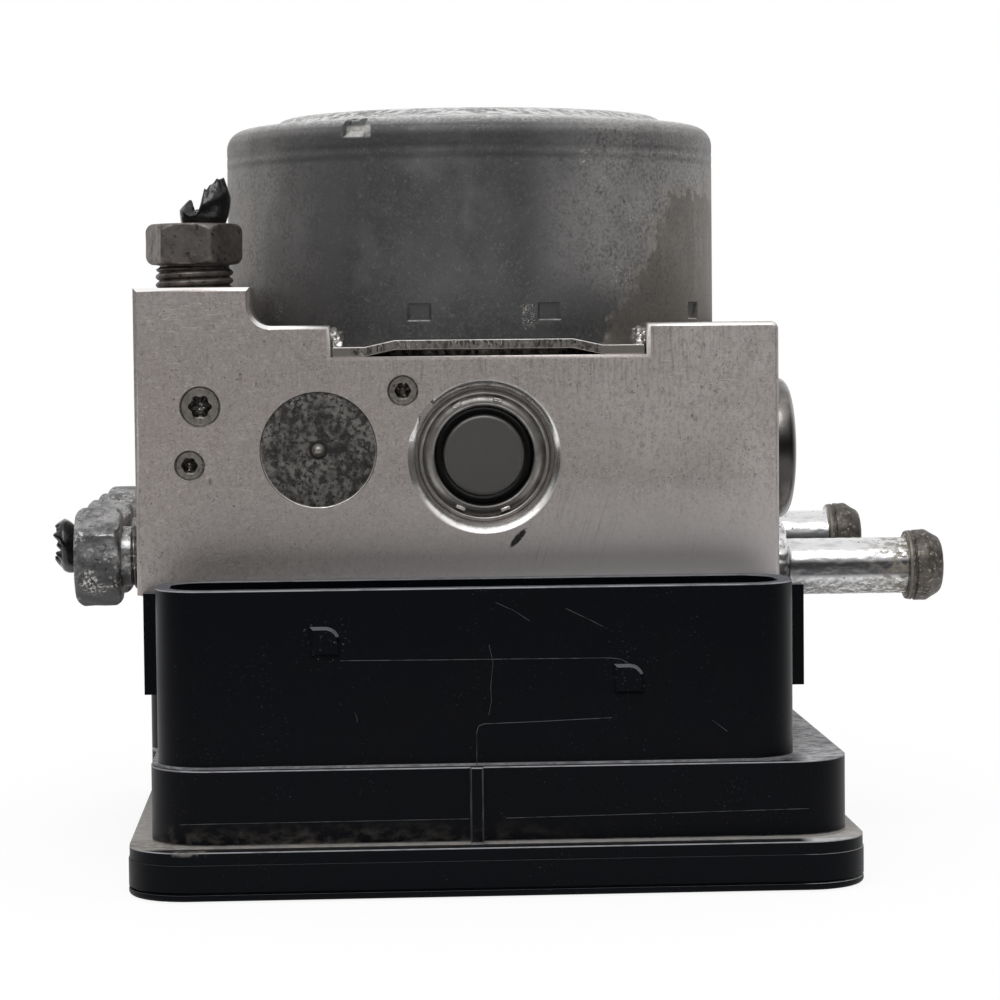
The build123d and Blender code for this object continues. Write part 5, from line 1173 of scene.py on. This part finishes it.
def punch_tree():
    """Small burrs where a staking punch has struck: one worn block on each point, turned with it."""
    tree, size = grower(
        "punch_burrs", Length="Float", Width="Float", Height="Float", Centre="Vector", Finish="Material",
    )
    sides = add(tree, "ShaderNodeCombineXYZ", {"X": size["Length"], "Y": size["Height"], "Z": size["Width"]})
    block = add(tree, "GeometryNodeMeshCube", {"Size": sides})
    block = add(tree, "GeometryNodeSubdivisionSurface", {"Mesh": block, "Level": 2, "Edge Crease": 0.55})
    away = add(tree, "ShaderNodeVectorMath", {
        0: add(tree, "GeometryNodeInputPosition"), 1: size["Centre"],
    }, operation="SUBTRACT")
    turn = add(tree, "FunctionNodeAlignRotationToVector", {"Vector": away}, axis="Z", pivot_axis="Y")
    burrs = add(tree, "GeometryNodeInstanceOnPoints", {
        "Points": size["Geometry"], "Instance": block, "Rotation": turn,
    })
    return ended(tree, burrs, size["Finish"])


def punch_burrs(material):
    """Four burrs on each pump plug's lip, left by the staking punch."""
    tree = punch_tree()
    sides = {key: length * MM for key, length in BURR_SIDES.items()}
    turns = [math.radians(degrees) for degrees in BURR_TURNS]
    for side, name in ((-1, "stake_burrs_front"), (1, "stake_burrs_back")):
        y = side * BURR_HEIGHT
        start = bpy.data.meshes.new(name)
        start.from_pydata([
            Vector((BURR_RING * math.cos(t), y, PUMP_Z + BURR_RING * math.sin(t))) * MM for t in turns
        ], [], [])
        made = grown(name, tree, start, Centre=(0, y * MM, PUMP_Z * MM), Finish=material, **sides)
        made.data.shade_smooth()
        dressed(made, material, "bright_steel")


# ---------------------------------------------------------------- pieces inside
def coil_springs(kind, material):
    """The front and back coil springs of a kind."""
    for end in ("front", "back"):
        node = kind + "_spring_" + end
        made = mesh_object(node + "_coil", merged(node), 40)
        dressed(made, material, "spring_steel", node)
        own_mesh(made)


def inner_finishes():
    """The pieces inside, each in its own stock."""
    looks = {
        "bright_steel": stock("ground_steel", "#b9b8b6", "#9b9997", 0.28, 1.0, 0.6),
        "magnet": stock("ferrite_magnet", "#2b2b2c", "#3a3a3b", 0.65, 0.0, 0.8),
        "copper": stock("enamelled_copper", "#b06a3c", "#8c4f2b", 0.34, 1.0, 0.5),
        "carbon": stock("carbon_brush", "#1d1d1e", "#2a2a2b", 0.6, 0.0, 0.5),
        "black_moulding": stock("valve_coil_resin", "#17181a", "#202124", 0.5, 0.0, 0.6),
        "holder_plastic": stock("glass_filled_nylon", "#2c2b29", "#383633", 0.55, 0.0, 0.6),
        "board": stock("glass_epoxy_board", "#1f4a33", "#173a28", 0.45, 0.0, 0.7),
        "seal": stock("nitrile_rubber", "#141414", "#1e1e1e", 0.7, 0.0, 0.6),
        "spring_steel": stock("spring_steel", "#8f8e8c", "#6f6e6c", 0.35, 1.0, 0.4),
        "cast_aluminium": stock("turned_aluminium", "#a9a6a2", "#8f8c88", 0.4, 1.0, 0.5),
    }
    coil_springs("pump", looks["spring_steel"])
    coil_springs("accumulator", looks["spring_steel"])
    for part in frame["record"]["subparts"]:
        shown = frame["nodes"][part["node"]]
        if not shown.hide_render:
            shown.data.materials.clear()
            shown.data.materials.append(looks[part["material_slot"]])


# ---------------------------------------------------------------- studio
def seen_direct(tree):
    """1 where the camera sees straight to it, or through clear pieces alone."""
    path = add(tree, "ShaderNodeLightPath", out="Is Camera Ray").node.outputs
    return add(tree, "ShaderNodeMath", {
        0: path["Is Camera Ray"], 1: path["Is Transmission Ray"],
    }, operation="MAXIMUM")


def paper_floor():
    """Pale paper under the object: it takes the object's shadow and runs out to white for the camera."""
    material = bpy.data.materials.new("white_paper")
    material.use_nodes = True
    tree = material.node_tree
    tree.nodes.clear()
    at = add(tree, "ShaderNodeTexCoord", out="Object")
    fibre = add(tree, "ShaderNodeTexNoise", {"Vector": at, "Scale": 900.0})
    tone = add(tree, "ShaderNodeMix", {
        0: fibre, 6: linear("#fbfbfb"), 7: linear("#f6f6f6"),
    }, out=2, data_type="RGBA")
    matt = add(tree, "ShaderNodeBsdfDiffuse", {"Color": tone})
    glow = add(tree, "ShaderNodeEmission", {"Color": (1, 1, 1, 1), "Strength": 1.0})
    away = add(tree, "ShaderNodeVectorMath", {0: at}, out="Value", operation="LENGTH")
    white = add(tree, "ShaderNodeMapRange", {
        "Value": away, "From Min": 0.04, "From Max": 0.2, "To Min": 0.86, "To Max": 1.0,
    })
    share = add(tree, "ShaderNodeMath", {0: seen_direct(tree), 1: white}, operation="MULTIPLY")
    both = add(tree, "ShaderNodeMixShader", {0: share, 1: matt, 2: glow})
    add(tree, "ShaderNodeOutputMaterial", {"Surface": both})
    bpy.ops.mesh.primitive_circle_add(
        vertices=96, radius=FLOOR_R * MM, fill_type="NGON", location=(0, 0, -FLOOR_DROP * MM),
    )
    floor = bpy.context.object
    floor.name = "paper_floor"
    floor.data.materials.append(material)


def front_light():
    """A wide soft light above the camera that faces the object."""
    data = bpy.data.lights.new("front_top", "AREA")
    data.shape = "RECTANGLE"
    data.size, data.size_y = (side * MM for side in LIGHT_SIDES)
    data.energy = LIGHT_POWER
    lamp = bpy.data.objects.new("front_top", data)
    bpy.context.scene.collection.objects.link(lamp)
    place = Vector(LIGHT_PLACE) * MM
    lamp.location = place
    lamp.rotation_euler = (Vector(LIGHT_AIM) * MM - place).to_track_quat("-Z", "Y").to_euler()


def surroundings():
    """A white backdrop behind and above, and a dim room on the camera's side for the metal to mirror."""
    world = bpy.data.worlds.new("studio")
    bpy.context.scene.world = world
    world.use_nodes = True
    tree = world.node_tree
    tree.nodes.clear()
    way = add(tree, "ShaderNodeTexCoord", out="Generated")
    way = add(tree, "ShaderNodeSeparateXYZ", {0: way}).node.outputs
    glossy = add(tree, "ShaderNodeLightPath", out="Is Glossy Ray")
    behind = add(tree, "ShaderNodeMapRange", {"Value": way["Y"], "From Min": 0.1, "From Max": 0.55})
    above = add(tree, "ShaderNodeMapRange", {"Value": way["Z"], "From Min": 0.25, "From Max": 0.7})
    bright = add(tree, "ShaderNodeMath", {0: behind, 1: above}, operation="MAXIMUM")
    room = add(tree, "ShaderNodeMapRange", {"Value": bright, "To Min": 0.05, "To Max": 0.95})
    mirrored = add(tree, "ShaderNodeMath", {0: glossy, 1: behind}, operation="MULTIPLY")
    white = add(tree, "ShaderNodeMath", {0: mirrored, 1: seen_direct(tree)}, operation="MAXIMUM")
    level = add(tree, "ShaderNodeMath", {0: room, 1: white}, operation="MAXIMUM")
    glow = add(tree, "ShaderNodeBackground", {"Color": (1, 1, 1, 1), "Strength": level})
    add(tree, "ShaderNodeOutputWorld", {"Surface": glow})


def camera():
    """A long lens from the front, a little above the object and a little to its left."""
    yaw, pitch, roll = (math.radians(degrees) for degrees in CAMERA_TURN)
    right = Vector((math.cos(yaw), -math.sin(yaw), 0))
    ahead = Vector((math.sin(yaw) * math.cos(pitch), math.cos(yaw) * math.cos(pitch), -math.sin(pitch)))
    up = right.cross(ahead)
    local_x = right * math.cos(roll) + up * math.sin(roll)
    local_y = up * math.cos(roll) - right * math.sin(roll)
    data = bpy.data.cameras.new("camera")
    data.lens = CAMERA_LENS
    data.sensor_width = 36
    made = bpy.data.objects.new("camera", data)
    bpy.context.scene.collection.objects.link(made)
    turn = Matrix((local_x, local_y, -ahead)).transposed().to_4x4()
    made.matrix_world = Matrix.Translation(Vector(CAMERA_PLACE) * MM) @ turn
    bpy.context.scene.camera = made


# ---------------------------------------------------------------- building
def block_and_motor():
    """The milled block, the motor staked into it, and the plugs and covers in the block's faces."""
    valve_block(milled_aluminium())
    motor_can(zinc_flake_coat())
    end_plate(sheared_steel())
    stake = punched_aluminium()
    for name, sizes in STAKES.items():
        stake_lump(name, *sizes, stake)
    plug, disc = turned_plug(), blotched_disc()
    for end, side in (("front", -1), ("back", 1)):
        pump_plug(end, side, plug)
        cover_disc(end, side, disc)
    punch_burrs(stake)
    dark = plug_steel()
    small_plugs = [sealing_plug(index, dark) for index in range(len(PLUGS))]
    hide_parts("sealing_plugs")


def pipe_ends():
    """The pipe nuts with the sleeves torn off in them, the cap and the hose spigots."""
    inlet = Matrix.Translation((*INLET, SHOULDER_TOP))
    turn = math.radians(INLET_TURN)
    pipe_nut("top_tube_nut", inlet, turn, 1.0, blackened_steel(), "dark_steel", **TOP_NUT)
    zinc_nut = weathered_zinc()
    for i, (row, degrees) in enumerate(zip(OUTLET_ROWS, OUTLET_TURNS)):
        outlet = facing_x(-1, BLOCK_LEFT, row, OUTLET_Z)
        turn = math.radians(degrees)
        pipe_nut("side_tube_nut_" + str(i + 1), outlet, turn, 5.0 + i, zinc_nut, "nut_steel", **SIDE_NUT)
    sleeve = stock("torn_black_sleeve", "#0a0a0a", "#151414", 0.1, 0.0, 0.8)
    inlet_end = Matrix.Translation((*INLET, SHOULDER_TOP + NUT_REACH))
    torn_stub("top_stub_torn", inlet_end, 3.4, TOP_RIM, 0.1, 1.5, 3.0, sleeve, "top_pipe_stub")
    outlet_end = facing_x(-1, BLOCK_LEFT - NUT_REACH, OUTLET_ROWS[0], OUTLET_Z)
    torn_stub("side_stub_torn", outlet_end, 3.5, SIDE_RIM, 0.4, 1.3, 8.0, sleeve, "side_pipe_stub")
    side_cap(turned_zinc())
    spigot = corroded_spigot()
    hose_spigot("front_spigot_beaded", "hose_spigot_front", FRONT_SPIGOT, 2.0, spigot)
    hose_spigot("back_spigot_beaded", "hose_spigot_back", BACK_SPIGOT, 6.0, spigot)


def control_unit():
    """The moulded housing and its cover, the mould's lines on it, and the plug's contacts."""
    plastic = moulded_black()
    moulding("ecu_housing", plastic)
    moulding("ecu_cover", plastic)
    mould_lines(rubbed_plastic())
    plug_contacts(stock("tinned_contact", "#c9c7c2", "#a9a7a2", 0.3, 1.0, 0.5))


block_and_motor()
pipe_ends()
control_unit()
inner_finishes()
paper_floor()
surroundings()
front_light()
camera()
bpy.context.scene.view_settings.view_transform = "Standard"
